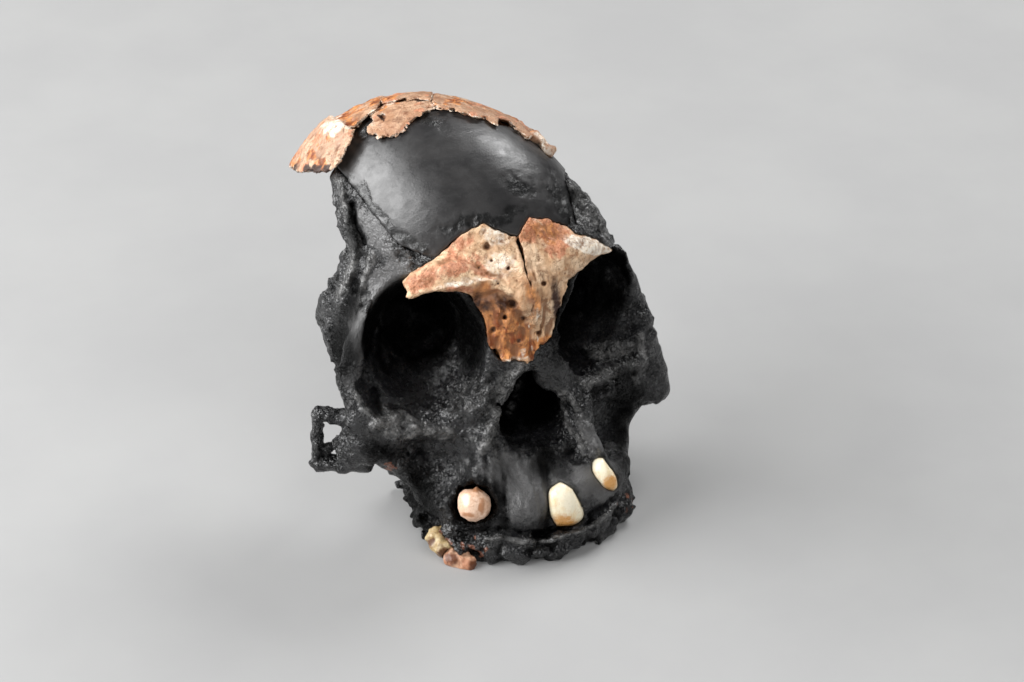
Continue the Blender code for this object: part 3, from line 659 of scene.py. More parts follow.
# Flat faces painted lighter grey, a painted highlight where they face the light
LIT_FACES_PAINTED = (
    (390, 292, 18, 40, 24, 0.4), (378, 232, 12, 26, -30, 0.4), (589, 434, 9, 24, -22, 0.5),
    (528, 497, 14, 26, 0, 0.6), (500, 480, 12, 34, 0, 0.7), (400, 430, 24, 10, 8, 0.5),
    (507, 394, 14, 42, 22, 0.5), (612, 350, 26, 12, -10, 0.5), (590, 205, 22, 22, 0, 0.5),
)
# The crumbly orbit floor, and the ridges higher than the next height in mm, get the same painted highlight
LIT_CRUMBS_PAINTED = (466, 398, 34, 22, -40, 0.5)
LIT_RIDGE_HEIGHT = 0.65
STREAKS_BY_CANINE = (512, 486, 56, 48, 0, 0.5)
STREAKS_BY_CHEEK = (470, 460, 28, 24, 0, 0.5)
# Reddish stains
CAST_STAINS = (
    (392, 466, 12, 6, 20, 0.6), (628, 504, 10, 10, 0, 0.6), (468, 545, 20, 10, 20, 0.6),
    (446, 528, 8, 12, 0, 0.6),
)
# Where the dome is smeared with coarser filler
DOME_SMEARS = (
    (362, 126, 12, 14, 0, 0.5), (520, 186, 16, 8, 20, 0.7), (508, 112, 40, 5, 22, 0.6),
    (416, 116, 28, 4, 20, 0.6), (412, 246, 26, 7, 35, 0.6), (480, 222, 40, 8, -12, 0.7),
    (372, 206, 44, 4, 48, 0.6), (562, 200, 8, 30, -20, 0.6),
)
# Wide swellings of the dome
DOME_SWELL_RIGHT = (404, 180, 44, 60, -24, 0.95)
DOME_SWELL_LEFT = (508, 158, 34, 40, -24, 0.95)

# Ridges and grooves of the cast: points in the picture, width in pixels and height in mm
CAST_RIDGES = (
    (((340, 180), (343, 200), (350, 225), (356, 250), (350, 272), (340, 292)), 7.0, 1.2),
    (((372, 256), (358, 300), (356, 345), (353, 382), (360, 405), (375, 423)), 5.0, 0.7),
    (((374, 426), (384, 420), (400, 419), (418, 428), (446, 433)), 9.0, 1.5),
    (((524, 363), (512, 384), (500, 410), (489, 432), (484, 450)), 6.0, 1.6),
    (((500, 372), (490, 396), (470, 418)), 6.0, 0.5),
    (((566, 394), (578, 410), (590, 430), (600, 450)), 5.0, 1.2),
    (((560, 396), (568, 425), (584, 450)), 4.0, 0.7),
    (((486, 540), (500, 538), (525, 541), (550, 541), (575, 533), (596, 525), (618, 505)), 3.4, 1.1),
    (((567, 184), (588, 196), (600, 218), (608, 244)), 5.0, 1.0),
    (((640, 335), (644, 360), (636, 384)), 5.0, 0.9),
    (((585, 385), (610, 372), (640, 366)), 7.0, 0.8),
    (((452, 520), (449, 500), (458, 482), (474, 476), (490, 482), (499, 500)), 5.0, 0.6),
)
CAST_GROOVES = (
    (((352, 204), (357, 224), (364, 242)), 5.0, 1.3),
    (((402, 240), (412, 252), (418, 262)), 4.0, 0.5),
    (((497, 442), (503, 470), (504, 520)), 6.0, 0.6),
    (((545, 466), (549, 500), (545, 528)), 6.0, 0.5),
    (((577, 408), (584, 424), (596, 444)), 3.0, 0.6),
    (((500, 530), (540, 533), (580, 520), (612, 500)), 5.0, 0.7),
)


def worn(x, y):
    """Ridges and flat faces painted lighter grey, a painted highlight where they face the light"""
    ridges = [0.9 * stroke(x, y, points, 1.6 * width)
              for points, width, height in CAST_RIDGES if height > LIT_RIDGE_HEIGHT]
    return np.maximum.reduce([*ridges, 0.9 * spots(x, y, LIT_FACES_PAINTED), 0.45 * spot(x, y, LIT_CRUMBS_PAINTED)])


def cast_relief(p):
    """Fine relief of the black cast, in mm outwards"""
    xs, ys = warped_picture(p, 7.0)
    crumb, smooth = spots(xs, ys, CRUMBLY), spots(xs, ys, SMOOTH)
    x, y = warped_picture(p, 1.6)
    plain = 1 - 0.88 * smooth
    calm = 1 - 0.75 * step(-vault(p), 3.4, 5.0) * step(p[:, 1], 22.0, 28.0)
    lumps = 0.38 * noise(p, 3.2, 1) + 0.22 * noise(p, 1.6, 2) + 0.12 * noise(p, 1.0, 3)
    relief = 0.34 * noise(p, 7.0, 0) + plain * lumps
    beads = np.maximum(noise(p, 1.7, 4), 0) ** 1.4 + 0.7 * np.maximum(noise(p, 1.1, 9), 0) ** 1.4
    holes = np.maximum(noise(p, 2.3, 11) - 0.25, 0)
    relief += crumb * (0.95 * beads + 0.42 * noise(p, 2.7, 8) - 1.0 * holes - 0.18)
    streaks = noise(p, 1.0, 9, (0.95, 3.0, 7.0)) + 0.5 * noise(p, 1.0, 10, (0.5, 2.0, 4.0))
    relief += 0.34 * streaks * spot(x, y, STREAKS_BY_CANINE)
    relief += 0.30 * streaks * spot(x, y, STREAKS_BY_CHEEK)
    uneven = 0.8 + 0.5 * noise(p, 2.2, 6)
    for points, width, height in CAST_RIDGES:
        relief += height * uneven * stroke(x, y, points, width)
    for points, width, depth in CAST_GROOVES:
        relief -= depth * stroke(x, y, points, width)
    low_edge = step(-p[:, 2], 39.5, 42.0)
    knobs = np.maximum(noise(p, 3.4, 5), -0.4) + 0.8 * np.maximum(noise(p, 1.9, 7), -0.1)
    relief += low_edge * (1.7 * knobs - 0.5)
    return np.clip(relief * calm, -1.9, 2.1)


def fill_relief(p):
    """Gentle hollows and smears of the smooth dome, in mm outwards"""
    x, y = seen_in_picture(p)
    xs, ys = warped_picture(p, 3.0)
    relief = 0.05 * noise(p, 9.0, 0) + 0.02 * noise(p, 3.5, 1)
    relief += 0.035 * noise(p, 1.0, 9, (7.0, 2.2, 1.4)) + 0.025 * noise(p, 1.0, 3, (3.0, 1.2, 0.9))
    relief += 0.7 * spot(x, y, DOME_SWELL_RIGHT)
    relief += 0.6 * spot(x, y, DOME_SWELL_LEFT)
    rough = spots(xs, ys, DOME_SMEARS)
    return relief + rough * (0.32 * noise(p, 1.9, 2) + 0.22 * noise(p, 1.1, 3))


# Relief of the bone

def bone_relief(p):
    """Grain, fine cracks and small pits of weathered bone, in mm outwards"""
    relief = 0.20 * noise(p, 3.4, 0) + 0.13 * noise(p, 1.5, 1) + 0.08 * noise(p, 0.8, 2)
    pits = np.maximum(noise(p, 1.1, 3) - 0.5, 0) + 0.8 * np.maximum(noise(p, 1.9, 10) - 0.6, 0)
    return relief - 1.0 * pits - 0.16 * seams(p, 9.0, 7, 0.04) * step(noise(p, 4.0, 2), 0.0, 0.5)


# Pits of the frontal bone: middle and radius in the picture, and depth in mm
FRONTAL_PITS = (
    ((486, 246), 3.4, 1.1), ((491, 260), 1.7, 0.6), ((508, 268), 2.0, 0.7), ((512, 303), 4.0, 1.3),
    ((544, 283), 2.6, 0.9), ((505, 317), 2.6, 0.9), ((478, 268), 1.2, 0.4), ((497, 283), 1.4, 0.4),
    ((524, 318), 2.4, 0.9), ((538, 332), 2.0, 0.6), ((494, 330), 2.8, 0.8), ((519, 341), 2.4, 0.8),
)
# Its ridges and grooves: points in the picture, width in pixels and height in mm
FRONTAL_LINES = (
    (((478, 297), (496, 292), (512, 303), (520, 318)), 7.0, -1.0),
    (((405, 298), (425, 291), (452, 288), (476, 283), (494, 280)), 6.0, 0.7),
    (((440, 262), (462, 258), (484, 272), (500, 276)), 4.0, -0.35),
    (((546, 300), (542, 322), (536, 345)), 3.0, -0.6),
)
# Soft limits in the picture: from the first number on towards the second
FLUTED_BELOW_PX = (290.0, 316.0)
SLIVERS_BELOW_PX = (298.0, 316.0)
SLIVERS_RIGHT_OF_PX = (502.0, 526.0)
RIM_RIGHT_OF_PX = (440.0, 470.0)
RIM_BOTTOM_PX = 300.0
# Places on the frontal bone, as ellipses like those on the cast
FRONTAL_FIBRES = (540, 268, 24, 46, 10, 0.5)
DARK_FIBRES = (540, 300, 20, 50, 10, 0.6)
WHITE_PATCH = (588, 245, 24, 8, 12, 0.4)
PINK_PATCHES = (
    (456, 264, 22, 11, -20, 0.8), (426, 276, 22, 9, -25, 0.8), (458, 244, 12, 10, -30, 0.8),
    (478, 270, 16, 6, 20, 0.8), (470, 290, 30, 5, 0, 0.8), (546, 230, 32, 16, 10, 0.6),
    (556, 246, 14, 9, 20, 0.8),
)
RUST_PATCHES = (
    (500, 334, 34, 34, 0, 0.6), (484, 314, 16, 30, 0, 0.6), (536, 350, 22, 12, 0, 0.7),
)
FAINT_RUST = (
    (460, 300, 50, 7, 0, 0.7), (532, 296, 7, 30, -10, 0.8), (546, 232, 30, 14, 10, 0.9),
)
WHITE_PATCHES = (
    (496, 234, 18, 9, 10, 0.8), (462, 282, 34, 4, -8, 0.8), (500, 262, 20, 14, 0, 0.8),
    (515, 359, 16, 3, 0, 0.8),
)
# Painted shade under the brow and along the nasal bone's sides that face the orbits
BROW_SHADE = (
    (502, 301, 16, 8, 20, 0.9), (466, 304, 36, 8, -3, 0.9), (430, 306, 30, 6, 5, 0.9),
)
NASAL_EDGE_SHADE = (
    (558, 312, 5, 40, -6, 0.8), (470, 326, 7, 40, 12, 0.9), (482, 348, 5, 16, 20, 0.9),
)
# Painted shade under the brow
UNDER_BROW_SHADE = (
    (466, 306, 46, 12, 0, 0.9), (478, 328, 12, 36, 0, 0.9),
)
# Places on the vault fragments
VAULT_WHITE = (334, 127, 13, 8, -20, 0.8)
# Painted shade along a fragment's underside
VAULT_UNDERSIDE_SHADE = (318, 170, 34, 6, 0, 0.6)
VAULT_HOLES = ((505, 123, 6, 3, 10, 0.5), (383, 116, 2.2, 2.2, 0, 0.5))
VAULT_SWELLING = (334, 128, 13, 9, -20, 0.6)
VAULT_KNOBS = (530, 132, 30, 14, 40, 0.6)
# Dents in the outer faces: depth in mm and place
VAULT_DENTS = ((1.3, (505, 123, 6, 3, 10, 0.5)), (0.9, (383, 116, 2.6, 2.6, 0, 0.4)))


def frontal_relief(p):
    x, y = warped_picture(p, 1.0)
    relief = bone_relief(p)
    front = step(-p[:, 1], -16.0, -10.0)
    for centre, radius, depth in FRONTAL_PITS:
        relief -= front * depth * spot(x, y, (*centre, radius, radius, 0.0, 0.5))
    flutes = noise(p, 1.0, 9, (0.9, 2.5, 5.0))
    lower = step(y, *FLUTED_BELOW_PX)
    relief += lower * (0.75 * flutes + 0.60 * noise(p, 2.2, 6) + 0.30 * noise(p, 1.1, 4))
    relief += (1 - lower) * (0.24 * fractal(p, 3.0, 8) + 0.10 * noise(p, 1.0, 5, (0.6, 1.4, 2.6)))
    relief += 0.34 * noise(p, 1.0, 10, (0.9, 3.0, 4.0)) * spot(x, y, FRONTAL_FIBRES)
    for points, width, height in FRONTAL_LINES:
        relief += height * stroke(x, y, points, width)
    return np.clip(relief, -1.7, 1.6)


def vault_relief(p):
    x, y = warped_picture(p, 1.2)
    outer = step(vault(p), -0.6, 0.4)
    relief = bone_relief(p)
    relief += 1.1 * spot(x, y, VAULT_SWELLING)
    for depth, place in VAULT_DENTS:
        relief -= depth * outer * spot(x, y, place)
    relief += 0.22 * noise(p, 2.0, 5)
    relief += spot(x, y, VAULT_KNOBS) * (0.55 * noise(p, 1.8, 8) + 0.2)
    return np.clip(relief, -1.4, 1.5)


def enamel_relief(p):
    return 0.06 * noise(p, 2.0, 0) + 0.05 * noise(p, 1.0, 9, (0.6, 2.0, 3.0)) + 0.02 * noise(p, 0.5, 2)


def crown_relief(p):
    """Blunt, cracked crown"""
    return enamel_relief(p) + 0.14 * noise(p, 1.3, 4)


def molar_relief(p):
    """Uneven worn crown"""
    return crown_relief(p) + 0.45 * noise(p, 2.1, 7) + 0.25 * noise(p, 1.2, 5)


# Teeth: name, field, teeth to keep clear of, relief, enamel, and stains and pale tips in the picture, the
# tips being a painted highlight on the lit side
TEETH = (
    ("canine_right", canine_right, [], crown_relief, "enamel_pinkish",
     ((478, 489, 9, 5, 0, 0.9), (482, 506, 4, 8, 0, 0.9), (468, 514, 6, 3, 0, 0.9)),
     ((466, 500, 4, 7, 0, 0.9),)),
    ("incisor_left", incisor, [], enamel_relief, "enamel_cream",
     ((564, 522, 14, 8, 8, 0.9),), ((566, 498, 9, 16, -30, 0.9),)),
    ("canine_left", canine_left, [], enamel_relief, "enamel_cream",
     ((611, 482, 8, 10, 30, 0.9),), ((598, 464, 6, 12, -35, 0.9),)),
    ("cheek_tooth_front", cheek_tooth_front, [], molar_relief, "enamel_orange",
     ((450, 556, 8, 8, 0, 0.9), (474, 566, 7, 7, 0, 0.9)), ()),
    ("cheek_tooth_rear", cheek_tooth_rear, [cheek_tooth_front], molar_relief, "enamel_yellow",
     ((444, 552, 8, 8, 0, 0.9), (430, 542, 6, 6, 0, 0.9)), ()),
)


# Where pieces meet

def within(field, box):
    """The field where its piece can reach, and a large distance elsewhere"""
    low, high = row(box[0]), row(box[1])

    def limited(p):
        distance = np.full(len(p), FAR, np.float32)
        inside = ((p > low) & (p < high)).all(axis=1)
        if inside.any():
            distance[inside] = field(p[inside])
        return distance
    return limited


def kept_clear(others):
    """Positive within the gap around any of the others"""
    def clear(p):
        return np.maximum.reduce([PIECE_GAP - other(p) for other in others])
    return clear


def without(field, others):
    """The field with room left around its neighbours"""
    if not others:
        return field
    clear = kept_clear(others)

    def cut(p):
        return np.maximum(field(p), clear(p))
    return cut


# Meshing

def evaluated(field, points):
    """The field at many points, worked out in chunks side by side"""
    chunks = [points[i:i + CHUNK] for i in range(0, len(points), CHUNK)]
    with ThreadPoolExecutor(4) as pool:
        return np.concatenate(list(pool.map(field, chunks)))


def lattice(low, steps, spacing):
    axes = [low[i] + np.arange(steps[i]) * spacing for i in range(3)]
    return np.stack(np.meshgrid(*axes, indexing="ij"), -1).astype(np.float32)


def refined(values, axis):
    """Coarse samples filled in linearly along one axis"""
    values = np.moveaxis(values, axis, 0)
    fine = np.empty(((values.shape[0] - 1) * COARSE_STEP + 1,) + values.shape[1:], np.float32)
    for count in range(COARSE_STEP):
        share = count / COARSE_STEP
        fine[count:-1:COARSE_STEP] = values[:-1] * (1 - share) + values[1:] * share
    fine[-1] = values[-1]
    return np.moveaxis(fine, 0, axis)


def surface(field, relief, cutters, box, voxel):
    """Points in mm and faces of the surface where the field less its relief is zero, clear of the cutters"""
    low, high = (np.array(corner, float) for corner in box)
    wide = voxel * COARSE_STEP
    steps = np.ceil((high - low) / wide).astype(int) + 2
    points = lattice(low, steps, wide)
    values = evaluated(without(field, cutters), points.reshape(-1, 3)).reshape(points.shape[:3])
    for axis in range(3):
        values = refined(values, axis)
    near = np.argwhere(np.abs(values) < BAND * wide)
    places = (low + near * voxel).astype(np.float32)
    exact = evaluated(field, places)
    skin = np.abs(exact) < RELIEF_REACH
    exact[skin] -= evaluated(relief, places[skin])
    if cutters:
        exact = np.maximum(exact, evaluated(kept_clear(cutters), places))
    values[tuple(near.T)] = exact
    limit = 3 * wide
    grid = openvdb.FloatGrid(limit)
    grid.copyFromArray(np.ascontiguousarray(np.clip(values, -limit, limit)))
    corners, _, quads = grid.convertToPolygons(isovalue=0.0, adaptivity=0.0)
    return np.asarray(corners, np.float32) * voxel + row(low), np.asarray(quads, np.int64)[:, ::-1]


def largest_body(points, quads):
    """The biggest connected body alone, without loose crumbs"""
    label = np.arange(len(points))
    while True:
        lowest = label[quads].min(axis=1)
        new = label.copy()
        for corner in range(4):
            np.minimum.at(new, quads[:, corner], lowest)
        new = new[new]
        if (new == label).all():
            break
        label = new
    names, counts = np.unique(label, return_counts=True)
    kept = label == names[counts.argmax()]
    number = np.cumsum(kept) - 1
    return points[kept], number[quads[kept[quads[:, 0]]]]


def build_mesh(name, points, quads):
    mesh = bpy.data.meshes.new(name)
    mesh.vertices.add(len(points))
    mesh.loops.add(quads.size)
    mesh.polygons.add(len(quads))
    mesh.vertices.foreach_set("co", ((points + row(ORIGIN)) * MM).ravel())
    mesh.loops.foreach_set("vertex_index", quads.ravel().astype(np.int32))
    mesh.polygons.foreach_set("loop_start", np.arange(0, quads.size, 4, dtype=np.int32))
    mesh.polygons.foreach_set("loop_total", np.full(len(quads), 4, np.int32))
    mesh.update(calc_edges=True)
    mesh.validate()
    mesh.shade_smooth()
    return mesh


def add_piece(name, node, field, cutters, relief, box, voxel, triangles=None):
    """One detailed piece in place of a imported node"""
    points, quads = largest_body(*surface(field, relief, cutters, box, voxel))
    mesh = build_mesh(name, points, quads)
    piece = bpy.data.objects.new(name, mesh)
    bpy.context.scene.collection.objects.link(piece)
    if triangles and 2 * len(quads) > triangles:
        fewer = piece.modifiers.new("fewer_faces", "DECIMATE")
        fewer.ratio = triangles / (2 * len(quads))
        apply_modifiers(piece)
    level_underside(piece)
    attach(piece, "root")
    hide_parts(node)
    return piece


def apply_modifiers(piece):
    depsgraph = bpy.context.evaluated_depsgraph_get()
    plain = bpy.data.meshes.new_from_object(piece.evaluated_get(depsgraph), depsgraph=depsgraph)
    piece.modifiers.clear()
    old, piece.data = piece.data, plain
    bpy.data.meshes.remove(old)


def level_underside(piece):
    """Everything that would reach below the table is pressed flat onto it"""
    mesh = piece.data
    places = np.empty(len(mesh.vertices) * 3, np.float32)
    mesh.vertices.foreach_get("co", places)
    places[2::3] = np.maximum(places[2::3], 0.0)
    mesh.vertices.foreach_set("co", places)
    mesh.update()


def skull_points(piece):
    """Vertices in the skull frame in mm, and their normals"""
    mesh = piece.data
    places = np.empty(len(mesh.vertices) * 3, np.float32)
    normals = np.empty(len(mesh.vertices) * 3, np.float32)
    mesh.vertices.foreach_get("co", places)
    mesh.vertex_normals.foreach_get("vector", normals)
    return places.reshape(-1, 3) / MM - row(ORIGIN), normals.reshape(-1, 3)


def dress(piece, material, **shares):
    """Shares from 0 to 1 stored at each vertex, which the material reads, and the material itself"""
    for name, values in shares.items():
        layer = piece.data.attributes.new(name, "FLOAT", "POINT")
        layer.data.foreach_set("value", np.ascontiguousarray(np.clip(values, 0, 1), np.float32))
    piece.data.materials.append(material)


# Material nodes

class Nodes:
    """Short ways to add nodes to one material"""

    def __init__(self, name):
        self.material = bpy.data.materials.new(name)
        self.material.use_nodes = True
        self.tree = self.material.node_tree
        self.shader = self.tree.nodes["Principled BSDF"]
        self.place = self.add("TexCoord", {})["Object"]

    def put(self, value, socket):
        if isinstance(value, bpy.types.NodeSocket):
            self.tree.links.new(value, socket)
        else:
            socket.default_value = value

    def add(self, kind, inputs, **settings):
        """Outputs of a new node with its settings, and its inputs set or linked"""
        made = self.tree.nodes.new("ShaderNode" + kind)
        for name, value in settings.items():
            setattr(made, name, value)
        for name, value in inputs.items():
            self.put(value, made.inputs[name])
        return made.outputs

    def share(self, name):
        return self.add("Attribute", {}, attribute_name=name)["Fac"]

    def noise(self, size_mm, detail=3.0, rough=0.55, warp=0.0, place=None):
        inputs = {"Scale": 1 / (size_mm * MM), "Detail": detail, "Roughness": rough, "Distortion": warp}
        return self.add("TexNoise", {**inputs, "Vector": place or self.place})["Fac"]

    def cells(self, size_mm):
        return self.add("TexVoronoi", {"Scale": 1 / (size_mm * MM), "Vector": self.place})["Distance"]

    def stretched(self, scale):
        return self.add("Mapping", {"Scale": scale, "Vector": self.place})["Vector"]

    def math(self, operation, a, b=0.0, c=0.0):
        return self.add("Math", {0: a, 1: b, 2: c}, operation=operation)[0]

    def level(self, value, low, high, out_low=0.0, out_high=1.0):
        """value between low and high brought to out_low and out_high, smoothly"""
        inputs = {"Value": value, "From Min": low, "From Max": high, "To Min": out_low, "To Max": out_high}
        return self.add("MapRange", inputs, interpolation_type="SMOOTHSTEP")["Result"]

    def mix(self, share, a, b):
        a, b = ((*tone, 1.0) if isinstance(tone, tuple) else tone for tone in (a, b))
        return self.add("Mix", {0: share, 6: a, 7: b}, data_type="RGBA")[2]

    def bump(self, height, distance_mm, strength=1.0, under=None):
        inputs = {"Distance": distance_mm * MM, "Strength": strength, "Height": height}
        if under:
            inputs["Normal"] = under
        return self.add("Bump", inputs)["Normal"]

    def speckled(self, share, grain, reach=2.2):
        """A soft share broken up by a grain, still 0 where the share is 0"""
        uneven = self.math("MULTIPLY", share, self.math("MULTIPLY_ADD", grain, reach, 1 - reach / 2))
        return self.level(uneven, 0.25, 0.75)

    def finish(self, colour, roughness, normal, **constants):
        self.put(colour, self.shader.inputs["Base Color"])
        self.put(roughness, self.shader.inputs["Roughness"])
        self.put(normal, self.shader.inputs["Normal"])
        for name, value in constants.items():
            self.shader.inputs[name].default_value = value
        return self.material


# Linear colours of the cast, the dome, the bone, the enamel and the floor
PITCH = (0.001, 0.001, 0.001)
CAST_BLACK = (0.004, 0.004, 0.0045)
CAST_SOFT_BLACK = (0.011, 0.011, 0.012)
CAST_DUST = (0.030, 0.029, 0.028)
# Greys painted on lit faces and ridges as painted highlight
CAST_LIT_GREY = (0.040, 0.040, 0.040)
CAST_LIT_PALE_GREY = (0.130, 0.128, 0.125)
# Painted glints on the grains of the coarse cast
CAST_GLINT_SPECK = (0.19, 0.185, 0.18)
# Painted sheen of the smooth satin patches
CAST_SATIN_SHEEN = (0.075, 0.074, 0.074)
CAST_STAIN = (0.17, 0.065, 0.038)
DOME_DARK = (0.016, 0.0155, 0.016)
DOME_SOFT = (0.030, 0.029, 0.029)
DOME_SMEAR = (0.009, 0.009, 0.009)
DOME_DUST = (0.075, 0.073, 0.071)
DOME_FILLER = (0.006, 0.006, 0.006)
BONE_PINK = (0.60, 0.28, 0.16)
BONE_DEEP_PINK = (0.44, 0.16, 0.08)
BONE_DEEP_RUST = (0.20, 0.042, 0.008)
BONE_RUST = (0.68, 0.28, 0.09)
BONE_WHITE = (0.90, 0.83, 0.72)
BONE_CREAM = (0.76, 0.60, 0.43)
BONE_GRIME = (0.13, 0.05, 0.02)
BONE_VEIN = (0.10, 0.035, 0.012)
BONE_HOLLOW = (0.09, 0.028, 0.008)
BONE_PIT = (0.036, 0.012, 0.005)
# Painted highlight on the teeth's lit tips
TOOTH_TIP_HIGHLIGHT = (0.88, 0.80, 0.62)
FLOOR_TONES = ((0.31, 0.31, 0.31), (0.33, 0.33, 0.328))

# Base, light and deep colour of each bone
BONE_TONES = {
    "vault_bone_orange": ((0.38, 0.20, 0.11), (0.52, 0.33, 0.21), (0.22, 0.09, 0.04)),
    "vault_bone_pink": ((0.48, 0.29, 0.19), (0.56, 0.39, 0.26), (0.32, 0.14, 0.07)),
    "frontal_ivory": ((0.66, 0.42, 0.25), (0.77, 0.56, 0.36), (0.42, 0.20, 0.09)),
    "frontal_brown": ((0.60, 0.38, 0.22), (0.74, 0.54, 0.36), (0.34, 0.16, 0.07)),
}
# Base, warm and stain colour of each enamel, and how rough it is
ENAMEL_TONES = {
    "enamel_cream": ((0.88, 0.80, 0.60), (0.84, 0.70, 0.45), (0.62, 0.31, 0.09), 0.0),
    "enamel_pinkish": ((0.78, 0.56, 0.42), (0.68, 0.43, 0.29), (0.42, 0.20, 0.10), 0.10),
    "enamel_yellow": ((0.50, 0.40, 0.22), (0.34, 0.22, 0.09), (0.10, 0.04, 0.015), 0.10),
    "enamel_orange": ((0.62, 0.38, 0.25), (0.44, 0.20, 0.11), (0.12, 0.04, 0.016), 0.10),
}


def cast_material():
    n = Nodes("black_cast_detail")
    shares = ("crumb", "smooth", "stain", "low", "deep", "worn")
    crumb, smooth, stain, low, deep, worn = (n.share(name) for name in shares)
    broad, middle, fine = n.noise(8.0, 4.0), n.noise(2.0, 4.0, 0.6), n.noise(0.7, 4.0, 0.65)
    colour = n.mix(n.level(broad, 0.35, 0.65), CAST_BLACK, CAST_SOFT_BLACK)
    colour = n.mix(n.math("MULTIPLY", n.level(middle, 0.52, 0.68), 0.6), colour, CAST_DUST)
    # Painted highlight: where the worn share is, lit faces, ridges and crumbs turn a lighter grey
    painted_lit_grey = n.mix(n.level(middle, 0.35, 0.65), CAST_LIT_GREY, CAST_LIT_PALE_GREY)
    colour = n.mix(n.speckled(worn, fine, 1.6), colour, painted_lit_grey)
    # Painted glints: light specks, mostly where the cast is crumbly
    glint_specks = n.math("MULTIPLY", n.level(fine, 0.60, 0.72), n.math("MULTIPLY_ADD", crumb, 0.50, 0.04))
    colour = n.mix(glint_specks, colour, CAST_GLINT_SPECK)
    # Painted sheen: the smooth patches turn a lighter grey
    colour = n.mix(n.speckled(smooth, middle), colour, CAST_SATIN_SHEEN)
    # Painted shade in thin wandering creases, which go darker except on the smooth patches
    winding = n.level(n.math("ABSOLUTE", n.math("SUBTRACT", n.noise(2.6, 5.0, 0.62, 1.0), 0.5)), 0.0, 0.030)
    creases = n.math("MAXIMUM", winding, n.math("MULTIPLY", smooth, 0.85))
    colour = n.mix(creases, n.mix(0.25, PITCH, colour), colour)
    # Painted shade: the relief's hollows, the insides of the orbits and nose, and the shaded places go pitch
    # black
    colour = n.mix(n.math("MAXIMUM", n.math("MULTIPLY", low, 0.92), deep), colour, PITCH)
    colour = n.mix(n.speckled(stain, fine), colour, CAST_STAIN)
    roughness = n.level(n.noise(1.6, 4.0), 0.32, 0.68, 0.17, 0.38)
    roughness = n.math("MULTIPLY_ADD", smooth, 0.12, roughness)
    roughness = n.math("MULTIPLY_ADD", crumb, -0.05, roughness)
    # The same painted-shade places lose most of their specular sheen
    sheen = n.math("MULTIPLY_ADD", n.math("MAXIMUM", deep, n.math("MULTIPLY", low, 0.85)), -0.66, 0.74)
    n.put(sheen, n.shader.inputs["Specular IOR Level"])
    grain = n.bump(n.noise(0.5, 5.0, 0.7), 0.11, 0.9)
    bead = n.math("SUBTRACT", 1.0, n.cells(0.9))
    bead = n.math("MULTIPLY", bead, n.math("MULTIPLY_ADD", crumb, 0.85, 0.06))
    grain = n.bump(creases, 0.22, 0.8, n.bump(bead, 0.60, 1.0, grain))
    scratches = n.noise(0.8, 4.0, 0.6, 0.6, n.stretched((1.0, 1.0, 0.22)))
    lumps = n.bump(n.math("MULTIPLY_ADD", scratches, 0.35, middle), 0.50, 0.9, grain)
    return n.finish(colour, roughness, lumps, IOR=1.5)


def dome_material():
    n = Nodes("black_smooth_detail")
    rough = n.share("rough")
    colour = n.mix(n.level(n.noise(13.0, 4.0, 0.6, 0.4), 0.34, 0.66), DOME_DARK, DOME_SOFT)
    smears = n.noise(2.6, 5.0, 0.7, 0.9, n.stretched((0.5, 1.0, 1.0)))
    colour = n.mix(n.level(smears, 0.54, 0.72, 0.0, 0.6), colour, DOME_SMEAR)
    colour = n.mix(n.level(n.noise(0.9, 4.0, 0.7), 0.60, 0.74, 0.0, 0.35), colour, DOME_DUST)
    colour = n.mix(n.speckled(rough, n.noise(1.3, 4.0)), colour, DOME_FILLER)
    roughness = n.level(n.noise(3.0, 4.0, 0.6, 0.5), 0.3, 0.7, 0.31, 0.44)
    roughness = n.math("MULTIPLY_ADD", n.level(smears, 0.45, 0.7), 0.07, roughness)
    grain = n.bump(n.noise(0.5, 4.0, 0.65), 0.035, 0.9)
    grain = n.bump(n.math("MULTIPLY", n.noise(1.3, 4.0, 0.65), rough), 0.5, 0.8, grain)
    brushed = n.noise(1.0, 4.0, 0.6, 0.5, n.stretched((0.25, 1.0, 1.0)))
    return n.finish(colour, roughness, n.bump(brushed, 0.07, 0.7, grain), IOR=1.62)


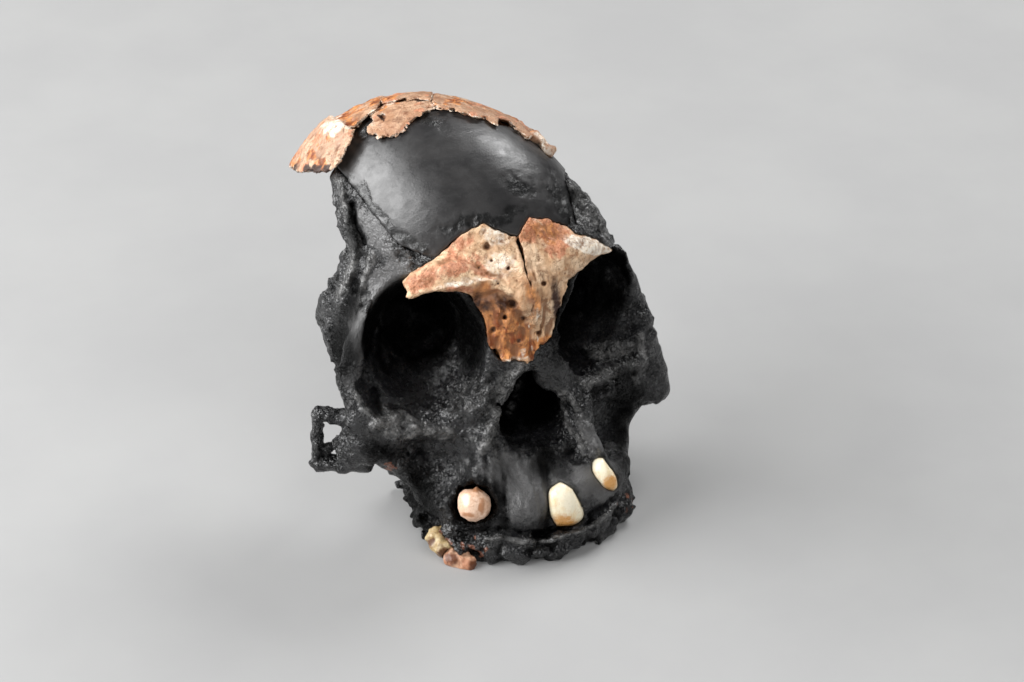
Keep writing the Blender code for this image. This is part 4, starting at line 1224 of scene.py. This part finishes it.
def bone_material(name):
    """Weathered bone: mottled tones, painted patches, white broken edges, fine cracks, dark pits, and painted
    shade in hollows and under the brow
    """
    n = Nodes(name)
    base, light, deep = BONE_TONES[name]
    pink, rust, white, dark, low = (n.share(share) for share in ("pink", "rust", "white", "dark", "low"))
    broad, middle, fine = n.noise(5.0, 5.0, 0.62, 0.5), n.noise(1.5, 5.0, 0.66, 0.4), n.noise(0.55, 5.0, 0.65)
    colour = n.mix(n.level(broad, 0.38, 0.62), base, light)
    colour = n.mix(n.level(middle, 0.50, 0.70, 0.0, 0.85), colour, deep)
    pinkish = n.mix(n.level(fine, 0.42, 0.62), BONE_PINK, BONE_DEEP_PINK)
    colour = n.mix(n.speckled(pink, middle), colour, pinkish)
    upright = n.noise(2.2, 5.0, 0.62, 0.8, n.stretched((1.0, 1.0, 0.45)))
    rusty = n.mix(n.level(upright, 0.40, 0.60), BONE_DEEP_RUST, BONE_RUST)
    colour = n.mix(n.speckled(rust, upright, 1.0), colour, rusty)
    pale = n.mix(n.level(fine, 0.45, 0.65), BONE_WHITE, BONE_CREAM)
    colour = n.mix(n.speckled(white, middle), colour, pale)
    colour = n.mix(n.level(fine, 0.56, 0.70, 0.0, 0.60), colour, n.mix(0.5, deep, BONE_GRIME))
    winding = n.math("ABSOLUTE", n.math("SUBTRACT", n.noise(3.2, 5.0, 0.62, 1.2), 0.5))
    veins = n.math("MULTIPLY", n.level(winding, 0.0, 0.026, 0.85, 0.0), n.level(broad, 0.36, 0.56))
    colour = n.mix(veins, colour, n.mix(0.7, deep, BONE_VEIN))
    # Painted shade in the relief's hollows and under the brow, together with streaks of darker tone
    colour = n.mix(n.math("MULTIPLY", low, 0.85), colour, n.mix(0.6, deep, BONE_HOLLOW))
    # Dark pits, fibres and broken layers, with painted shade under the brow, along the nasal bone's sides and
    # under a vault fragment's edge
    colour = n.mix(n.speckled(dark, middle, 1.4), colour, BONE_PIT)
    pits = n.bump(n.level(n.cells(1.1), 0.05, 0.25), 0.16, 0.7, n.bump(fine, 0.16, 0.9))
    return n.finish(colour, n.level(middle, 0.3, 0.7, 0.40, 0.66), n.bump(middle, 0.34, 0.95, pits), IOR=1.5)


def enamel_material(name):
    n = Nodes(name)
    base, warm, stain_colour, rough = ENAMEL_TONES[name]
    stain, tip = n.share("stain"), n.share("tip")
    broad, fine = n.noise(2.4, 5.0, 0.62, 0.4), n.noise(0.6, 4.0, 0.6)
    lines = n.noise(0.45, 4.0, 0.6, 0.2, n.stretched((1.6, 1.6, 0.25)))
    colour = n.mix(n.level(broad, 0.38, 0.64), base, warm)
    colour = n.mix(n.level(lines, 0.54, 0.70, 0.0, 0.40), colour, stain_colour)
    blotches = n.level(n.noise(1.1, 5.0, 0.65, 0.5), 0.50, 0.62, 0.0, 0.2 + 2.0 * rough)
    colour = n.mix(blotches, colour, stain_colour)
    colour = n.mix(n.speckled(stain, n.noise(1.0, 4.0), 1.4), colour, stain_colour)
    # Painted highlight: pale tips on the crowns' lit sides
    colour = n.mix(n.speckled(tip, n.noise(1.0, 4.0), 1.4), colour, TOOTH_TIP_HIGHLIGHT)
    roughness = n.level(fine, 0.3, 0.7, 0.22 + rough, 0.42 + rough)
    bumps = n.bump(lines, 0.08 + 0.5 * rough, 0.8, n.bump(fine, 0.06 + 0.5 * rough, 0.8))
    return n.finish(colour, roughness, bumps, IOR=1.55)


def floor_material():
    n = Nodes("pale_floor")
    colour = n.mix(n.level(n.noise(60.0, 4.0), 0.3, 0.7), *FLOOR_TONES)
    roughness = n.level(n.noise(25.0, 3.0), 0.3, 0.7, 0.78, 0.88)
    return n.finish(colour, roughness, n.bump(n.noise(0.8, 3.0), 0.03, 0.4))


# The pieces with their painted shares

def make_face(neighbours):
    face = add_piece("face_cast", "face_reconstruction", reconstruction, neighbours,
                     cast_relief, FACE_BOX, CAST_VOXEL, FACE_TRIANGLES)
    p = skull_points(face)[0]
    coarse, uneven, sharp = (warped_picture(p, wander) for wander in (7.0, 4.0, 3.0))
    behind_rim = step(p[:, 1] + 0.35 * p[:, 2] + 2.0 * noise(p, 4.0, 3), 9.0, 18.0)
    in_orbit = step(-orbit(p, 0.5), 0.0, 0.5) * behind_rim
    in_nose = step(0.5 - nose(p), 0.0, 0.5) * step(p[:, 1], 1.0, 6.0)
    dress(
        face, cast_material(),
        crumb=spots(*coarse, CRUMBLY) * (0.75 + 0.5 * noise(p, 3.0, 2)),
        smooth=spots(*coarse, SMOOTH),
        # low and deep: painted shade, pitch black in the relief's hollows, inside the orbits and nose, and at
        # the shaded places
        low=step(-cast_relief(p), 0.10, 0.85),
        deep=np.maximum.reduce([in_orbit, in_nose, 0.95 * spots(*sharp, SHADED)]),
        # worn: painted highlight, lighter grey on the lit faces and ridges
        worn=worn(*sharp),
        stain=step(noise(p, 1.3, 6), 0.05, 0.55) * spots(*uneven, CAST_STAINS),
    )


def make_fill(neighbours):
    fill = add_piece("vault_cast", "vault_fill", fill_body, neighbours,
                     fill_relief, FILL_BOX, CAST_VOXEL, FILL_TRIANGLES)
    dress(fill, dome_material(), rough=spots(*warped_picture(skull_points(fill)[0], 6.0), DOME_SMEARS))


def frontal_shares(p):
    """Painted shares of the frontal bone"""
    x, y = warped_picture(p, 5.0)
    plain = warped_picture(p, 1.0)
    edge = -inside_outline(p, FRONTAL_OUTLINE)
    patch = spot(*warped_picture(p, 2.5), WHITE_PATCH)
    slivers = step(noise(p, 1.0, 5, (0.8, 1.6, 2.4)), 0.35, 0.7)
    slivers = slivers * step(y, *SLIVERS_BELOW_PX) * step(x, *SLIVERS_RIGHT_OF_PX)
    rim = 0.32 * (1 - step(edge, 0.1, 0.5)) * step(noise(p, 2.4, 3), -0.1, 0.5)
    rim = rim * step(RIM_BOTTOM_PX - y, -6.0, 12.0) * step(x, *RIM_RIGHT_OF_PX)
    pits = spots(*plain, [(*centre, radius, radius, 0.0, 0.7) for centre, radius, _ in FRONTAL_PITS])
    # Painted shade under the brow and along the nasal bone's sides
    brow_and_edge_shade = np.maximum(0.70 * spots(x, y, BROW_SHADE), 0.8 * spots(*plain, NASAL_EDGE_SHADE))
    fibres = step(noise(p, 1.0, 10, (0.7, 3.0, 4.0)), 0.15, 0.65) * spot(x, y, DARK_FIBRES)
    streaks = step(fractal(p, 2.0, 6), 0.05, 0.55)
    grained = step(noise(p, 1.0, 3, (0.6, 1.2, 2.2)), 0.25, 0.75)
    # Painted shade in the relief's hollows
    hollows = step(-frontal_relief(p), 0.08, 0.50)
    return {
        "pink": spots(x, y, PINK_PATCHES) * (0.85 + 0.5 * noise(p, 1.6, 4)),
        "rust": np.maximum(spots(x, y, RUST_PATCHES), 0.6 * spots(x, y, FAINT_RUST)),
        "white": np.maximum.reduce([0.62 * spots(x, y, WHITE_PATCHES), patch, 0.55 * slivers, rim]),
        "dark": np.maximum.reduce([0.75 * pits, brow_and_edge_shade, 0.42 * fibres]),
        # low: painted shade in the hollows and under the brow, with streaks of darker tone
        "low": np.maximum.reduce([hollows, 0.50 * streaks, 0.45 * grained, 0.75 * spots(x, y, UNDER_BROW_SHADE)]),
    }


def make_frontal():
    sides = (
        ("right", "bone_ivory", frontal_right, bone_material("frontal_ivory")),
        ("left", "bone_brown", frontal_left, bone_material("frontal_brown")),
    )
    for side, slot, field, material in sides:
        piece = add_piece("frontal_bone_" + side, "frontal_" + side, field, [], frontal_relief,
                          FRONTAL_BOX, FRONTAL_VOXEL)
        dress(piece, material, **frontal_shares(skull_points(piece)[0]))


def vault_shares(piece, outline, proud, depth):
    """Painted shares of a vault fragment, whose broken edge shows a dark layer between two white ones"""
    p, normals = skull_points(piece)
    x, y = warped_picture(p, 4.0)
    wall = step(1 - np.abs((normals * vault_normal(p)).sum(axis=1)), 0.35, 0.7)
    top = 1 - wall
    layer = (vault(p) - proud + depth) / depth + 0.16 * noise(p, 2.2, 3)
    groove = step(np.abs(layer - 0.5), 0.20, 0.08)
    layers = 0.7 * wall * (1 - groove) * step(noise(p, 1.8, 6), -0.7, 0.1)
    rim = (1 - step(-inside_outline(p, outline), 0.0, 0.7)) * step(noise(p, 2.0, 8), -0.4, 0.3)
    # Painted shade along the fragment's underside
    shade_under_edge = 0.8 * spot(x, y, VAULT_UNDERSIDE_SHADE) * step(noise(p, 2.0, 2), -0.4, 0.2)
    return {
        "white": np.maximum.reduce([layers, 0.5 * rim, 0.8 * spot(x, y, VAULT_WHITE)]),
        "dark": np.maximum.reduce([0.9 * wall * groove, spots(x, y, VAULT_HOLES), shade_under_edge]),
        "pink": 0.85 * top * step(fractal(p, 4.5, 1), -0.1, 0.4),
        "rust": 0.8 * top * step(fractal(p, 5.0, 4), 0.0, 0.45),
        # low: painted shade in the relief's hollows, with streaks of darker tone
        "low": np.maximum(step(-vault_relief(p), 0.08, 0.50), 0.55 * step(fractal(p, 2.2, 6), 0.05, 0.55)),
    }


def make_vault_bones():
    """The vault fragments, each kept clear of the earlier ones; gives their fields"""
    materials = {slot: bone_material("vault_" + slot) for slot in ("bone_orange", "bone_pink")}
    earlier = []
    for name, slot, outline, proud, depth, reach in VAULT_PIECES:
        field = partial(vault_bone, outline=outline, proud=proud, depth=depth, reach=reach)
        if name == "vault_right_end":
            field = right_knob
        piece = add_piece(name + "_bone", name, field, list(earlier), vault_relief, VAULT_BOX,
                          VAULT_VOXEL)
        earlier.append(within(field, VAULT_BOX))
        dress(piece, materials[slot], **vault_shares(piece, outline, proud, depth))
    return earlier


def make_teeth():
    """The teeth; gives their fields"""
    materials = {name: enamel_material(name) for name in ENAMEL_TONES}
    for name, field, cutters, relief, enamel, stains, tip_highlights in TEETH:
        piece = add_piece(name + "_crown", name, field, cutters, relief, TEETH_BOX, TOOTH_VOXEL)
        x, y = warped_picture(skull_points(piece)[0], 2.5)
        dress(piece, materials[enamel], stain=0.85 * spots(x, y, stains), tip=0.8 * spots(x, y, tip_highlights))
    return [within(field, TEETH_BOX) for _, field, *_ in TEETH]


def make_skull():
    vault_bones = make_vault_bones()
    make_frontal()
    teeth = make_teeth()
    frontal = within(frontal_body, FRONTAL_BOX)
    make_fill([frontal, *vault_bones])
    make_face([within(fill_body, FILL_BOX), frontal, *vault_bones, *teeth])


# Surroundings

def make_floor():
    mesh = bpy.data.meshes.new("floor")
    half = 4.0
    corners = [(-half, -half, 0), (half, -half, 0), (half, half, 0), (-half, half, 0)]
    mesh.from_pydata(corners, [], [(0, 1, 2, 3)])
    mesh.materials.append(floor_material())
    floor = bpy.data.objects.new("floor", mesh)
    bpy.context.scene.collection.objects.link(floor)


def make_light(name, where, aim, size, power, mirrored=True):
    data = bpy.data.lights.new(name, "AREA")
    data.energy = power
    data.shape = "RECTANGLE"
    data.size, data.size_y = size
    light = bpy.data.objects.new(name, data)
    light.location = where
    light.rotation_euler = (Vector(aim) - Vector(where)).to_track_quat("-Z", "Y").to_euler()
    light.visible_glossy = mirrored
    bpy.context.scene.collection.objects.link(light)


def make_lights():
    middle = (0.0, 0.0, 0.05)
    make_light("key", (-0.80, 0.21, 0.50), middle, (1.20, 0.62), 23.5)
    make_light("rear_light", (0.60, 0.32, 0.76), middle, (0.42, 0.42), 7.5)
    make_light("front_fill", (0.15, -0.75, 0.68), middle, (0.90, 0.90), 7.0, False)
    world = bpy.data.worlds.new("soft_room")
    world.use_nodes = True
    background = world.node_tree.nodes["Background"]
    background.inputs["Color"].default_value = (0.80, 0.82, 0.85, 1.0)
    background.inputs["Strength"].default_value = 0.06
    bpy.context.scene.world = world


def make_camera():
    """Camera at the photograph's angle and distance, with the nasal tip at its pixel"""
    right, up, toward = view_axes()
    data = bpy.data.cameras.new("camera")
    data.lens = LENS
    data.sensor_width = SENSOR
    data.clip_start, data.clip_end = 0.01, 20.0
    focal_px = LENS / SENSOR * FRAME_PX[0]
    right_px, up_px = NASAL_TIP_PX[0] - FRAME_PX[0] / 2, FRAME_PX[1] / 2 - NASAL_TIP_PX[1]
    offset = Vector((right_px / focal_px, up_px / focal_px, -1))
    aim = offset.rotation_difference(Vector((0, 0, -1))).to_matrix()
    turn = Matrix([[float(axis[i]) for axis in (right, up, toward)] for i in range(3)]) @ aim
    eye = Vector([float(value) for value in (toward * VIEW_DISTANCE + row(ORIGIN)) * MM])
    camera = bpy.data.objects.new("camera", data)
    camera.matrix_world = Matrix.Translation(eye) @ turn.to_4x4()
    bpy.context.scene.collection.objects.link(camera)
    bpy.context.scene.camera = camera


make_camera()
make_lights()
make_floor()
make_skull()
bpy.context.scene.view_settings.view_transform = "Standard"
